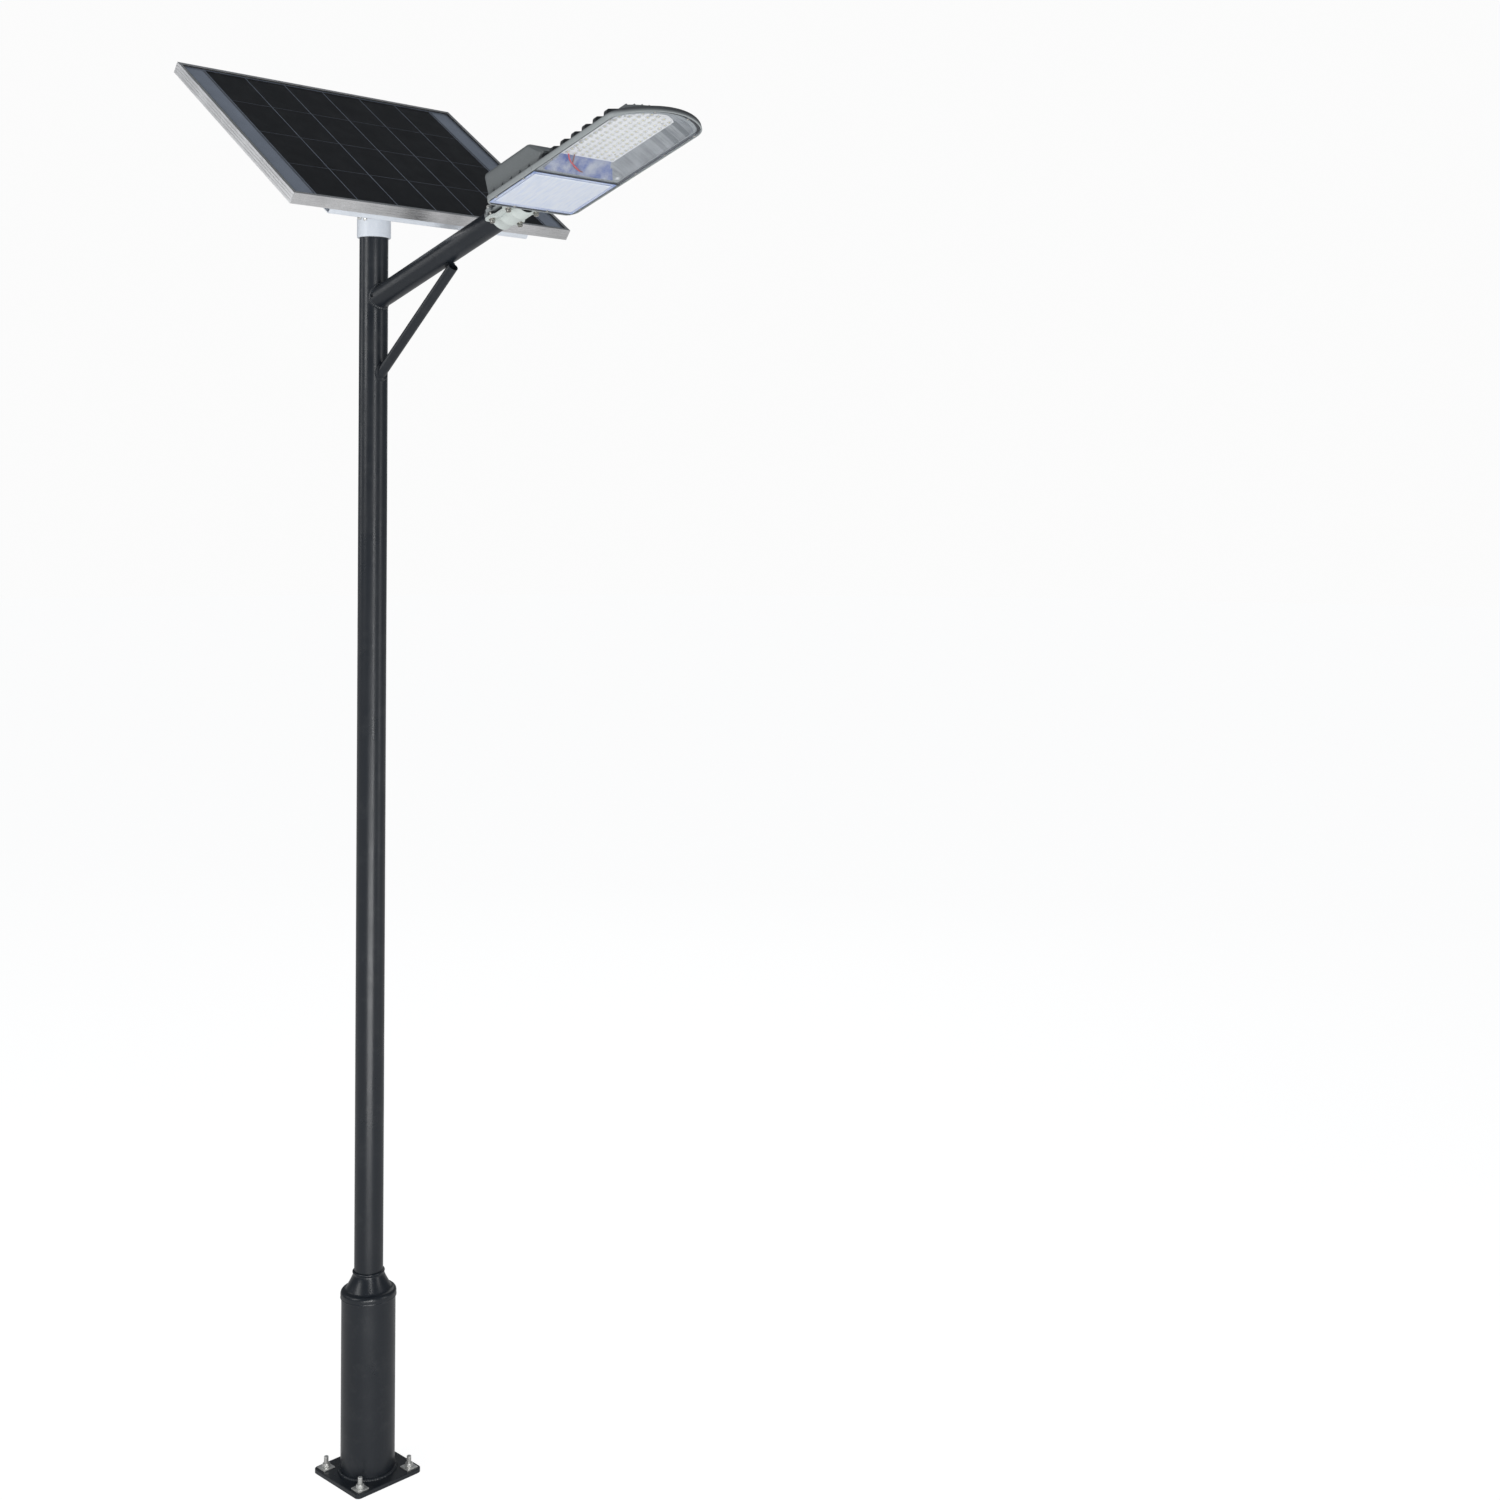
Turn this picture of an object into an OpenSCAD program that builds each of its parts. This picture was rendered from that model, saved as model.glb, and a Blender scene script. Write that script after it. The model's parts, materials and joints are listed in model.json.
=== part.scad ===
// Solar street lamp: a steel column on a bolted base plate carries a framed photovoltaic panel on a
// turning and tilting bracket, and a welded arm carries a die-cast LED head in a split tube clamp.
// Z is up, X points along the arm, and the origin is the centre of the base plate's underside.

/* [Base plate and anchors] */
// Side of the square base plate
plate_size = 205; // [185:1:260]
// Thickness of the base plate
plate_t = 12; // [10:0.5:25]
// Corner radius of the base plate
plate_corner_r = 14; // [4:1:25]
// Cable opening in the middle of the base plate
plate_cable_d = 50; // [20:1:60]
// Distance between anchor studs along each side
anchor_pitch = 155; // [150:1:165]
// Diameter of the anchor studs
stud_d = 12; // [12:1:20]
// Extra diameter of the anchor holes over the studs
stud_hole_clear = 2; // [1:0.5:4]
// Length of stud that shows above its nut
stud_proud = 18; // [4:1:24]
// Side of the square plate washers
washer_side = 34; // [30:1:40]
// Thickness of the plate washers
washer_t = 3; // [2:0.5:6]
// Thickness of the anchor nuts
anchor_nut_h = 10; // [10:1:18]

/* [Column] */
// Outer diameter of the upper pole
pole_od = 76; // [60:1:89]
// Wall of the upper pole
pole_wall = 4; // [3:0.25:6]
// Outer diameter of the lower sleeve
sleeve_od = 142; // [130:1:146]
// Wall of the lower sleeve
sleeve_wall = 6; // [4:0.5:8]
// Height of the sleeve's top edge above the ground
sleeve_top = 470; // [400:1:900]
// Height of the reducing collar above the sleeve
collar_h = 72; // [60:1:90]
// How far the collar stands proud of the sleeve all round
collar_lip = 2.7; // [1.5:0.1:5]
// Size of the weld bead round the sleeve's foot
foot_weld_r = 7; // [4:0.5:10]

/* [Arm and brace] */
// Outer diameter of the lamp arm
arm_od = 60; // [48:1:60]
// Wall of the lamp arm
arm_wall = 3; // [2:0.25:4]
// Rise of the arm above level, in degrees
arm_tilt = 18; // [5:0.5:20]
// Height where the arm's axis meets the pole's axis
arm_root_z = 3115; // [2600:5:3125]
// Distance along the arm from the pole's axis to the head's clamp end
head_start = 665; // [640:1:900]
// Outer diameter of the brace tube
brace_od = 27; // [20:1:34]
// Wall of the brace tube
brace_wall = 2.5; // [1.5:0.25:4]
// Rise of the brace above level, in degrees
brace_tilt = 40; // [35:0.5:50]
// Distance along the arm from the pole's axis to the brace's upper end
brace_station = 347; // [280:1:420]
// Size of the weld beads on the arm and brace
weld_size = 5; // [3:0.5:7]

/* [Panel socket and tilt bracket] */
// Outer diameter of the socket that fits over the pole top
socket_od = 89; // [86:1:100]
// Height of the socket's lower edge
socket_base_z = 3284; // [3180:1:3400]
// Inside depth of the socket
socket_depth = 86; // [70:1:120]
// Thickness of the socket's top plate
socket_cap_t = 6; // [4:0.5:10]
// Height of the tilt pivot above the socket's top plate
pivot_rise = 44; // [43:1:60]
// Inside width between the two yoke cheeks
yoke_gap = 54; // [46:1:56]
// Thickness of the yoke cheeks and of the ears
cheek_t = 6; // [4:0.5:8]
// Diameter of the pivot bolt
pivot_d = 12; // [10:1:14]
// Diameter of the tilt locking bolt
lock_d = 8; // [6:1:10]
// Distance from the pivot bolt to the locking bolt
lock_r = 30; // [28:0.5:31]

/* [Solar panel] */
// Length of the panel along Y
panel_l = 870; // [780:1:1000]
// Width of the panel along its slope
panel_w = 675; // [600:1:700]
// Depth of the panel frame
frame_h = 30; // [25:1:40]
// Slope of the panel, in degrees
panel_tilt = 36; // [25:0.5:37]
// How far the panel's centre lies up the slope from the pivot
panel_shift = 44; // [30:1:80]
// Height of the frame's underside above the pivot, square to the panel
panel_lift = 63.5; // [60:0.5:80]
// Width of the frame's front lip over the glass
frame_lip = 9; // [6:0.5:14]
// Width of the frame's rear flange
frame_flange = 24; // [18:1:32]
// Wall of the frame extrusion
frame_wall = 2; // [1.5:0.25:3]
// Thickness of the cover glass
glass_t = 3.2; // [2.5:0.1:4]
// Number of cells along the panel's length
cell_cols = 6; // [4:1:8]
// Number of cells up the panel's slope
cell_rows = 4; // [3:1:5]
// Pitch of the cells along the panel's length
cell_pitch_l = 120; // [90:1:122]
// Pitch of the cells up the slope
cell_pitch_w = 163; // [120:1:164]
// Gap between neighbouring cells
cell_gap = 3; // [2:0.5:6]
// Length of the two mounting rails under the panel
rail_l = 625; // [500:1:760]
// Width of the mounting rails
rail_w = 40; // [30:1:50]
// Height of the mounting rails
rail_h = 20; // [15:1:28]
// Wall of the mounting rails
rail_wall = 2.5; // [1.5:0.25:3]
// Distance of each rail from the panel's long edge
rail_inset = 12; // [4:1:16]
// Distance between the two bolts in each rail
rail_bolt_pitch = 400; // [300:1:460]
// Width of the sloping carrier beam
beam_w = 60; // [56:1:70]
// Height of the sloping carrier beam
beam_h = 32; // [28:1:33]

/* [Lamp head] */
// Width of the head
head_w = 280; // [260:1:300]
// Length of the head's casing
head_l = 540; // [520:1:560]
// Radius of the arched tip
arch_r = 198; // [180:1:240]
// Radius of the corners at the tip
tip_r = 50; // [40:1:60]
// Radius of the corners at the clamp end
tail_r = 28; // [20:1:34]
// Height of the casing's rim
rim_h = 14; // [13:0.5:18]
// Height of the battery and control box
box_h = 77; // [74:1:90]
// Length of the box's flat top
box_l = 183; // [170:1:190]
// Height of the heat sink plate
plate_h = 38; // [36:0.5:42]
// Height of the cooling fins on the plate
fin_h = 6; // [4:0.5:18]
// Number of cooling fins
fin_count = 9; // [5:2:13]
// Wall of the casing
shell = 2.2; // [1.8:0.1:3]
// Number of side pockets on each side
pocket_count = 6; // [4:1:6]
// Thickness of the clear lens cover
lens_t = 2.5; // [2:0.25:3]
// Drop of the head's underside below the arm's axis
head_drop = 28; // [26:0.5:32]
// Length of the clamp's upper half beyond the casing
spigot_l = 120; // [110:1:130]
// Length of the clamp's lower half
clamp_l = 100; // [90:1:110]
// Distance between the clamp bolts across the arm
clamp_bolt_y = 87; // [86:1:92]
// Distance between the clamp bolts along the arm
clamp_bolt_x = 65; // [55:1:72]
// Diameter of the clamp bolts
clamp_bolt_d = 8; // [6:1:8]

/* [Hidden] */
$fn = 64;

eps = 0.5;              // overshoot of every cut
seat = 0.2;             // gap at seats where a curved face meets a curved face in one assembly
running = 0.5;          // radial clearance of the socket on the pole
bolt_play = 0.3;        // radial clearance of bolts in their holes
powder = [0.17, 0.19, 0.21];
cast_grey = [0.62, 0.65, 0.66];
clamp_grey = [0.78, 0.81, 0.8];
silver = [0.8, 0.82, 0.84];
cool_white = [0.93, 0.95, 0.98];
zinc = [0.75, 0.75, 0.72];

// Column
pole_r = pole_od / 2;
collar_top = sleeve_top + collar_h;
socket_cap_z = socket_base_z + socket_depth;
socket_top = socket_cap_z + socket_cap_t;
pole_top = socket_cap_z - 0.3;
pivot_z = socket_top + pivot_rise;
cable_hole_d = 30;

// Tilt bracket
cheek_y = yoke_gap / 2;
ear_gap = 1;
cheek_r = 24;
ear_out = cheek_y - ear_gap;
ear_in = ear_out - cheek_t;
tilt_down = 20;         // degrees the panel can be laid flatter
tilt_up = 4;            // degrees the panel can be set steeper
bolt_head_h = 7;
bolt_washer_t = 1.5;

// Panel, in its own frame: X down the slope, Z square to the glass, origin on the pivot
panel_cx = -panel_shift;
panel_top = panel_lift + frame_h;
laminate_top = panel_top - frame_wall;
cell_t = 0.4;
sheet_t = 0.5;
laminate_gap = 0.1;
glass_bottom = laminate_top - glass_t - laminate_gap;
cell_top = glass_bottom - laminate_gap;
sheet_top = cell_top - cell_t - laminate_gap;
glass_margin = 4;       // glass edge to the frame's outer face
rail_top = panel_lift;
rail_x = panel_w / 2 - rail_inset - rail_w / 2;
rail_bolt_d = 6;
rail_bolt_edge = 5.5;   // rail bolt to the inner edge of the frame's rear flange
rail_bolt_x = panel_w / 2 - frame_flange + rail_bolt_edge;

// Head, in its own frame: X along the arm from the clamp end, Z square to the lens
lens_inset = 4;         // casing lip outside the lens
lens_z = 1.5;           // underside of the lens flange
gasket_t = 1.5;
seat_z = lens_z + lens_t + gasket_t;
tray_low_w = 123;       // half width of the lamp tray at the lens
tray_top_w = 84;        // half width of the lamp tray at the board
tray_low_x = [194, head_l - 19];
tray_top_x = [233, head_l - 58];
tray_top_z = plate_h - shell - 1.6;
board_t = 1.6;
board_z = tray_top_z - board_t - 0.1;
slope_l = 40;           // run of the slope from the box down to the plate
box_side = 12;          // box wall to the head's side
rib_t = 12;
fin_t = 2.4;
lip_w = 7;              // width of the rim's raised lip
floor_t = 3.5;          // floor between the lip and the tray
flange_inset = 15;      // tray mouth to the head's outline
pocket_pitch = 39;
pocket_start = tray_top_x[0] - 16.5;
screw_inset = 9;        // lens screws to the head's outline
clamp_bore = arm_od / 2 + seat;
spigot_r = arm_od / 2 + 8.5;
flange_z = [head_drop + 1.5, head_drop + 10];
arm_end = head_start - 12;

function arc(cx, cy, r, a0, a1, n) =
    [for (i = [0:n]) let(a = a0 + (a1 - a0) * i / n) [cx + r * cos(a), cy + r * sin(a)]];

// Points on a square with rounded corners
function round_box(w, h, r) = concat(
    arc(w / 2 - r, h / 2 - r, r, 0, 90, 6), arc(r - w / 2, h / 2 - r, r, 90, 180, 6),
    arc(r - w / 2, r - h / 2, r, 180, 270, 6), arc(w / 2 - r, r - h / 2, r, 270, 360, 6));

// The head's plan outline, drawn inwards by i
tip_cy = head_w / 2 - tip_r;
arch_cx = head_l - arch_r;
tip_cx = arch_cx + sqrt(pow(arch_r - tip_r, 2) - tip_cy * tip_cy);
tip_a = atan2(tip_cy, tip_cx - arch_cx);
tail_cy = head_w / 2 - tail_r;
function head_outline(i) = concat(
    arc(tail_r, -tail_cy, tail_r - i, 180, 270, 6),
    arc(tip_cx, -tip_cy, tip_r - i, -90, -tip_a, 8),
    [for (k = [1:11]) let(a = -tip_a + 2 * tip_a * k / 12)
        [arch_cx + (arch_r - i) * cos(a), (arch_r - i) * sin(a)]],
    arc(tip_cx, tip_cy, tip_r - i, tip_a, 90, 8),
    arc(tail_r, tail_cy, tail_r - i, 90, 180, 6));

// Lens screws: five along each side and two at each end
side_screw_x = [for (k = [0:4]) 41 + 105 * k];
end_screw_y = 51;
tip_screw_x = arch_cx + sqrt(pow(arch_r - screw_inset, 2) - end_screw_y * end_screw_y);
screw_points = concat(
    [for (x = side_screw_x, s = [-1, 1]) [x, s * (head_w / 2 - screw_inset)]],
    [for (s = [-1, 1]) [screw_inset, s * end_screw_y]],
    [for (s = [-1, 1]) [tip_screw_x, s * end_screw_y]]);

// Lamps: columns grow longer towards the middle, following the arch
led_cols = [13, 14, 15, 16, 15, 14, 13];
led_pitch_y = 23.3;
led_pitch_x = 16.96;
led_first_x = tray_top_x[0] + 13;
led_points = [for (c = [0:6]) for (k = [0:led_cols[c] - 1])
    let(stretch = 1 - (led_cols[c] - 13) * 0.044)
    [led_first_x + k * led_pitch_x * stretch, (c - 3) * led_pitch_y]];
board_screw_points = [for (x = [led_first_x + 25, led_first_x + 193], y = [-1, 1]) [x, y * 58.5]];

module on_arm() translate([0, 0, arm_root_z]) rotate([0, -arm_tilt, 0]) children();
module on_head() on_arm() translate([head_start, 0, -head_drop]) children();
module on_panel() translate([0, 0, pivot_z]) rotate([0, panel_tilt, 0]) children();
module along_x(x, l, r) translate([x, 0, 0]) rotate([0, 90, 0]) cylinder(h = l, r = r);
module along_y(x, y, z, l, r) translate([x, y, z]) rotate([-90, 0, 0]) cylinder(h = l, r = r);
module hex(af, h) cylinder(h = h, d = af / cos(30), $fn = 6);
// A side profile drawn in X and Z, given a width across Y
module across(width) translate([0, width / 2, 0]) rotate([90, 0, 0]) linear_extrude(width) children();

// ---------------------------------------------------------------- base and column
module at_anchors() for (x = [-1, 1], y = [-1, 1])
    translate([x * anchor_pitch / 2, y * anchor_pitch / 2, 0]) children();

module base_plate() color(powder) difference() {
    linear_extrude(plate_t) polygon(round_box(plate_size, plate_size, plate_corner_r));
    translate([0, 0, -eps]) cylinder(h = plate_t + 2 * eps, d = plate_cable_d);
    at_anchors() translate([0, 0, -eps])
        cylinder(h = plate_t + 2 * eps, d = stud_d + stud_hole_clear);
}

module anchor_studs() color(zinc) at_anchors() {
    top = plate_t + washer_t + anchor_nut_h + stud_proud;
    cylinder(h = top - 1.5, d = stud_d);
    translate([0, 0, top - 1.5]) cylinder(h = 1.5, d1 = stud_d, d2 = stud_d - 3);
}

module anchor_washers() color(zinc) at_anchors() translate([0, 0, plate_t])
    difference() {
        translate([0, 0, washer_t / 2]) cube([washer_side, washer_side, washer_t], center = true);
        translate([0, 0, -eps]) cylinder(h = washer_t + 2 * eps, d = stud_d + 1);
    }

module anchor_nuts() color(zinc) at_anchors() translate([0, 0, plate_t + washer_t])
    difference() {
        hex(stud_d * 1.5, anchor_nut_h);
        translate([0, 0, -eps]) cylinder(h = anchor_nut_h + 2 * eps, d = stud_d + 0.1);
    }

module foot_weld() color(powder) translate([0, 0, plate_t]) rotate_extrude()
    translate([sleeve_od / 2, 0]) polygon(concat([[0, 0]], arc(0, 0, foot_weld_r, 0, 90, 6)));

module base_sleeve() color(powder) translate([0, 0, plate_t]) difference() {
    cylinder(h = sleeve_top - plate_t, d = sleeve_od);
    translate([0, 0, -eps])
        cylinder(h = sleeve_top - plate_t + 2 * eps, d = sleeve_od - 2 * sleeve_wall);
}

// A ring welded inside the sleeve that centres the pole
module centering_ring() color(powder) translate([0, 0, sleeve_top - 60]) difference() {
    cylinder(h = 10, r = sleeve_od / 2 - sleeve_wall - seat);
    translate([0, 0, -eps]) cylinder(h = 10 + 2 * eps, r = pole_r + seat);
}

// The spun reducing collar: a rolled rim, a hollow cone, a round shoulder and a skirt
module sleeve_collar() color(powder) translate([0, 0, sleeve_top]) rotate_extrude() {
    r0 = pole_r + seat;
    r1 = sleeve_od / 2 + collar_lip;
    shoulder = 12;
    cone_r = r1 - shoulder - 4;
    cone_z = 26;
    rim_z = collar_h - 7;
    polygon(concat(
        [[r0, 3], [r1 - 3, 3], [r1 - 3, 0.1], [r1, 0.1]],
        arc(r1 - shoulder, cone_z - shoulder - 2, shoulder, 0, 80, 6),
        [for (k = [0:7]) let(t = k / 7) [r0 + 3 + (cone_r - r0 - 3) * pow(1 - t, 1.25),
            cone_z + (rim_z - cone_z) * t]],
        arc(r0 + 1.4, rim_z + 3.5, 3.5, -50, 90, 6),
        [[r0, rim_z + 7]]));
}

module pole() color(powder) difference() {
    translate([0, 0, plate_t]) cylinder(h = pole_top - plate_t, d = pole_od);
    translate([0, 0, plate_t - eps])
        cylinder(h = pole_top - plate_t + 2 * eps, r = pole_r - pole_wall);
    on_arm() along_x(0, pole_od, cable_hole_d / 2);
}

// ---------------------------------------------------------------- arm and brace
module pole_cope() cylinder(h = pole_top, r = pole_r + seat);

module arm() color(powder) difference() {
    on_arm() difference() {
        along_x(0, arm_end, arm_od / 2);
        along_x(-eps, arm_end + 2 * eps, arm_od / 2 - arm_wall);
        translate([36, 0, 0]) rotate([90, 0, 0]) cylinder(h = arm_od, d = 8);
    }
    pole_cope();
}

brace_end = [brace_station, -(arm_od / 2 + brace_od / 2 * cos(brace_tilt - arm_tilt) + 0.3)];
brace_end_x = brace_end[0] * cos(arm_tilt) - brace_end[1] * sin(arm_tilt);
brace_end_z = arm_root_z + brace_end[0] * sin(arm_tilt) + brace_end[1] * cos(arm_tilt);
brace_l = brace_end_x / cos(brace_tilt);
module on_brace() translate([brace_end_x, 0, brace_end_z]) rotate([0, -brace_tilt, 0])
    translate([-brace_l, 0, 0]) children();

module brace() color(powder) difference() {
    on_brace() difference() {
        along_x(0, brace_l, brace_od / 2);
        along_x(-eps, brace_l + 2 * eps, brace_od / 2 - brace_wall);
    }
    pole_cope();
}

// A bead where a tube of radius r along X runs into a round face
module bead_tube(l, r) difference() {
    along_x(0, l, r + weld_size);
    along_x(-eps, l + 2 * eps, r + seat);
}
module pole_skin() difference() {
    cylinder(h = pole_top, r = pole_r + weld_size);
    translate([0, 0, -eps]) cylinder(h = pole_top + 2 * eps, r = pole_r + seat / 2);
}

module arm_weld() color(powder) intersection() {
    on_arm() bead_tube(pole_od * 1.5, arm_od / 2);
    pole_skin();
}

module brace_welds() color(powder) {
    intersection() {
        on_brace() bead_tube(pole_od * 1.6, brace_od / 2);
        pole_skin();
    }
    intersection() {
        on_brace() bead_tube(brace_l - 1, brace_od / 2);
        on_arm() difference() {
            along_x(brace_station - 40, 60, arm_od / 2 + weld_size);
            along_x(brace_station - 41, 62, arm_od / 2 + seat / 2);
        }
        translate([brace_end_x - 30, -pole_r, brace_end_z - 30]) cube([60, pole_od, 60]);
    }
}

// ---------------------------------------------------------------- socket and yoke
screw_z = socket_base_z + 51;
module panel_socket() color(cool_white) difference() {
    translate([0, 0, socket_base_z]) cylinder(h = socket_top - socket_base_z, d = socket_od);
    translate([0, 0, socket_base_z - eps]) cylinder(h = socket_depth + eps, r = pole_r + running);
    for (s = [-90, 90]) translate([0, 0, screw_z]) rotate([s, 0, 0]) translate([0, 0, pole_r - 1])
        cylinder(h = socket_od / 2 - pole_r + 5, r = 4.1);
}

module socket_screws() color(zinc) for (s = [-1, 1]) translate([0, 0, screw_z])
    rotate([-90 * s, 0, 0]) {
        translate([0, 0, pole_r + running / 2]) cylinder(h = socket_od / 2 - pole_r, r = 4);
        translate([0, 0, socket_od / 2 + 0.1]) hex(13, 5);
    }

module cheek_outline() {
    half = sqrt(pow(socket_od / 2, 2) - pow(cheek_y + cheek_t, 2)) - 2;
    foot = pivot_rise - 8;
    polygon([[-half, -pivot_rise], [half, -pivot_rise], [half, -foot], [cheek_r - 2, -4],
        [2 - cheek_r, -4], [-half, -foot + 18]]);
    circle(r = cheek_r);
}

// Curved slot for the locking bolt, from angle a over the given sweep
module arc_slot(a, sweep) {
    g = lock_d / 2 + bolt_play;
    end = a + sweep;
    polygon(concat(
        arc(0, 0, lock_r + g, a, end, 10),
        arc(lock_r * cos(end), lock_r * sin(end), g, end + 15, end + 165, 10),
        arc(0, 0, lock_r - g, end, a, 10),
        arc(lock_r * cos(a), lock_r * sin(a), g, a + 195, a + 345, 10)));
}

module cheek() rotate([90, 0, 0]) difference() {
    linear_extrude(cheek_t) cheek_outline();
    translate([0, 0, -eps]) cylinder(h = cheek_t + 2 * eps, r = pivot_d / 2 + 0.05);
    translate([0, 0, -eps]) linear_extrude(cheek_t + 2 * eps)
        arc_slot(270 - panel_tilt - tilt_up, tilt_down + tilt_up);
}

module tilt_yoke() color(cool_white) translate([0, 0, pivot_z])
    for (y = [-cheek_y, cheek_y + cheek_t]) translate([0, y, 0]) cheek();

bolt_face = cheek_y + cheek_t + bolt_washer_t;
module cross_bolt(d, nut_h) {
    along_y(0, -bolt_face, 0, 2 * bolt_face + nut_h + 4, d / 2);
    translate([0, -bolt_face, 0]) rotate([90, 0, 0]) hex(d * 1.55, bolt_head_h);
    along_y(0, -bolt_face, 0, bolt_washer_t, d);
}
module cross_nut(d, nut_h) difference() {
    union() {
        translate([0, bolt_face, 0]) rotate([-90, 0, 0]) hex(d * 1.55, nut_h);
        along_y(0, bolt_face - bolt_washer_t, 0, bolt_washer_t, d);
    }
    along_y(0, cheek_y, 0, 40, d / 2 + 0.05);
}
module pivot_bolt() color(zinc) translate([0, 0, pivot_z]) cross_bolt(pivot_d, 10);
module pivot_nut() color(zinc) translate([0, 0, pivot_z]) cross_nut(pivot_d, 10);
module lock_bolt() color(zinc) on_panel() translate([0, 0, -lock_r]) cross_bolt(lock_d, 7);
module lock_nut() color(zinc) on_panel() translate([0, 0, -lock_r]) cross_nut(lock_d, 7);

module tilt_ears() color(cool_white) on_panel() for (y = [-ear_in, ear_out]) translate([0, y, 0])
    rotate([90, 0, 0]) difference() {
        linear_extrude(cheek_t) {
            polygon([[-10, -lock_r], [10, -lock_r], [26, panel_lift - beam_h - 8],
                [26, panel_lift - beam_h], [-26, panel_lift - beam_h],
                [-26, panel_lift - beam_h - 8]]);
            translate([0, -lock_r]) circle(r = 10);
        }
        translate([0, 0, -eps]) cylinder(h = cheek_t + 2 * eps, r = pivot_d / 2 + bolt_play);
        translate([0, -lock_r, -eps]) cylinder(h = cheek_t + 2 * eps, r = lock_d / 2 + 0.05);
    }

module box_tube(size, wall, axis) difference() {
    translate([-size[0] / 2, -size[1] / 2, -size[2]]) cube(size);
    inner = [for (i = [0:2]) i == axis ? size[i] + 2 * eps : size[i] - 2 * wall];
    translate([-inner[0] / 2, -inner[1] / 2, -size[2] / 2 - inner[2] / 2]) cube(inner);
}

module carrier_beam() color(cool_white) on_panel()
    translate([panel_cx, 0, rail_top])
        box_tube([2 * (rail_x - rail_w / 2), beam_w, beam_h], 3, 0);

module rail(x) color(cool_white) on_panel() difference() {
    translate([panel_cx + x, 0, rail_top]) box_tube([rail_w, rail_l, rail_h], rail_wall, 1);
    rail_bolt_holes(rail_bolt_d / 2 + bolt_play);
}
module rail_bolt_holes(r) for (x = [-rail_bolt_x, rail_bolt_x], y = [-1, 1])
    translate([panel_cx + x, y * rail_bolt_pitch / 2, rail_top - rail_h - eps])
        cylinder(h = rail_h + frame_wall + 2 * eps, r = r);
module rail_front() rail(rail_x);
module rail_back() rail(-rail_x);

module at_rail_bolts() on_panel() for (x = [-rail_bolt_x, rail_bolt_x], y = [-1, 1])
    translate([panel_cx + x, y * rail_bolt_pitch / 2, 0]) children();
module rail_bolts() color(zinc) at_rail_bolts() {
    translate([0, 0, rail_top - rail_h - 8]) cylinder(h = rail_h + frame_wall + 8.1, d = rail_bolt_d);
    translate([0, 0, rail_top + frame_wall + 0.05]) hex(10, 4);
}
module rail_nuts() color(zinc) at_rail_bolts() translate([0, 0, rail_top - rail_h - 5.1]) difference() {
    hex(10, 5);
    translate([0, 0, -eps]) cylinder(h = 5 + 2 * eps, d = rail_bolt_d + 0.1);
}

// ---------------------------------------------------------------- solar panel
// Cross section of the frame: X outwards from the outer face's line, Y up to the front lip
module frame_section() difference() {
    union() {
        translate([-frame_wall, 0]) square([frame_wall, frame_h]);
        translate([-frame_flange, 0]) square([frame_flange, frame_wall]);
        translate([-frame_lip, frame_h - frame_wall]) square([frame_lip, frame_wall]);
        translate([-frame_lip, frame_h - frame_wall - glass_t - 2.9]) square([frame_lip, 1.4]);
        translate([-frame_lip, frame_h - frame_wall - glass_t - 8]) square([1.4, 6]);
        translate([-frame_lip, frame_h - frame_wall - glass_t - 8]) square([frame_lip, 1.4]);
    }
    for (k = [1:3]) translate([-0.8, k * frame_h / 4 - 0.6]) square([0.8 + eps, 1.2]);
}

// One mitred side of the frame: length l, at distance d from the middle
module frame_side(l, d) intersection() {
    translate([d, l / 2, 0]) rotate([90, 0, 0]) linear_extrude(l) frame_section();
    translate([0, 0, -eps]) linear_extrude(frame_h + 2 * eps)
        polygon([[d + 1, l / 2 + 1], [d + 1, -l / 2 - 1],
            [d - 40, 41 - l / 2 - 0.05], [d - 40, l / 2 - 41 + 0.05]]);
}
module at_frame() on_panel() translate([panel_cx, 0, panel_lift]) children();
module frame_long(turn) color(silver) on_panel() difference() {
    translate([panel_cx, 0, panel_lift]) rotate(turn) frame_side(panel_l, panel_w / 2);
    rail_bolt_holes(rail_bolt_d / 2 + bolt_play);
}
module frame_front() frame_long(0);
module frame_back() frame_long(180);
module frame_left() color(silver) at_frame() rotate(-90) frame_side(panel_w, panel_l / 2);
module frame_right() color(silver) at_frame() rotate(90) frame_side(panel_w, panel_l / 2);

module sheet(z, t, margin) on_panel() translate([panel_cx, 0, z - t / 2])
    cube([panel_w - 2 * margin, panel_l - 2 * margin, t], center = true);
module panel_glass() color([0.2, 0.25, 0.3]) sheet(laminate_top - laminate_gap, glass_t, glass_margin);
module backsheet() color("white") sheet(sheet_top, sheet_t, glass_margin);

module solar_cells() color([0.02, 0.02, 0.03]) on_panel()
    for (i = [0:cell_rows - 1], k = [0:cell_cols - 1])
        translate([panel_cx + (i - (cell_rows - 1) / 2) * cell_pitch_w,
            (k - (cell_cols - 1) / 2) * cell_pitch_l, cell_top - cell_t / 2])
            cube([cell_pitch_w - cell_gap, cell_pitch_l - cell_gap, cell_t], center = true);

module bus_ribbons() color(silver) on_panel() for (s = [-1, 1])
    translate([panel_cx, s * (cell_cols * cell_pitch_l / 2 + 4), cell_top - cell_t / 2])
        cube([cell_rows * cell_pitch_w - 10, 3, cell_t], center = true);

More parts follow.
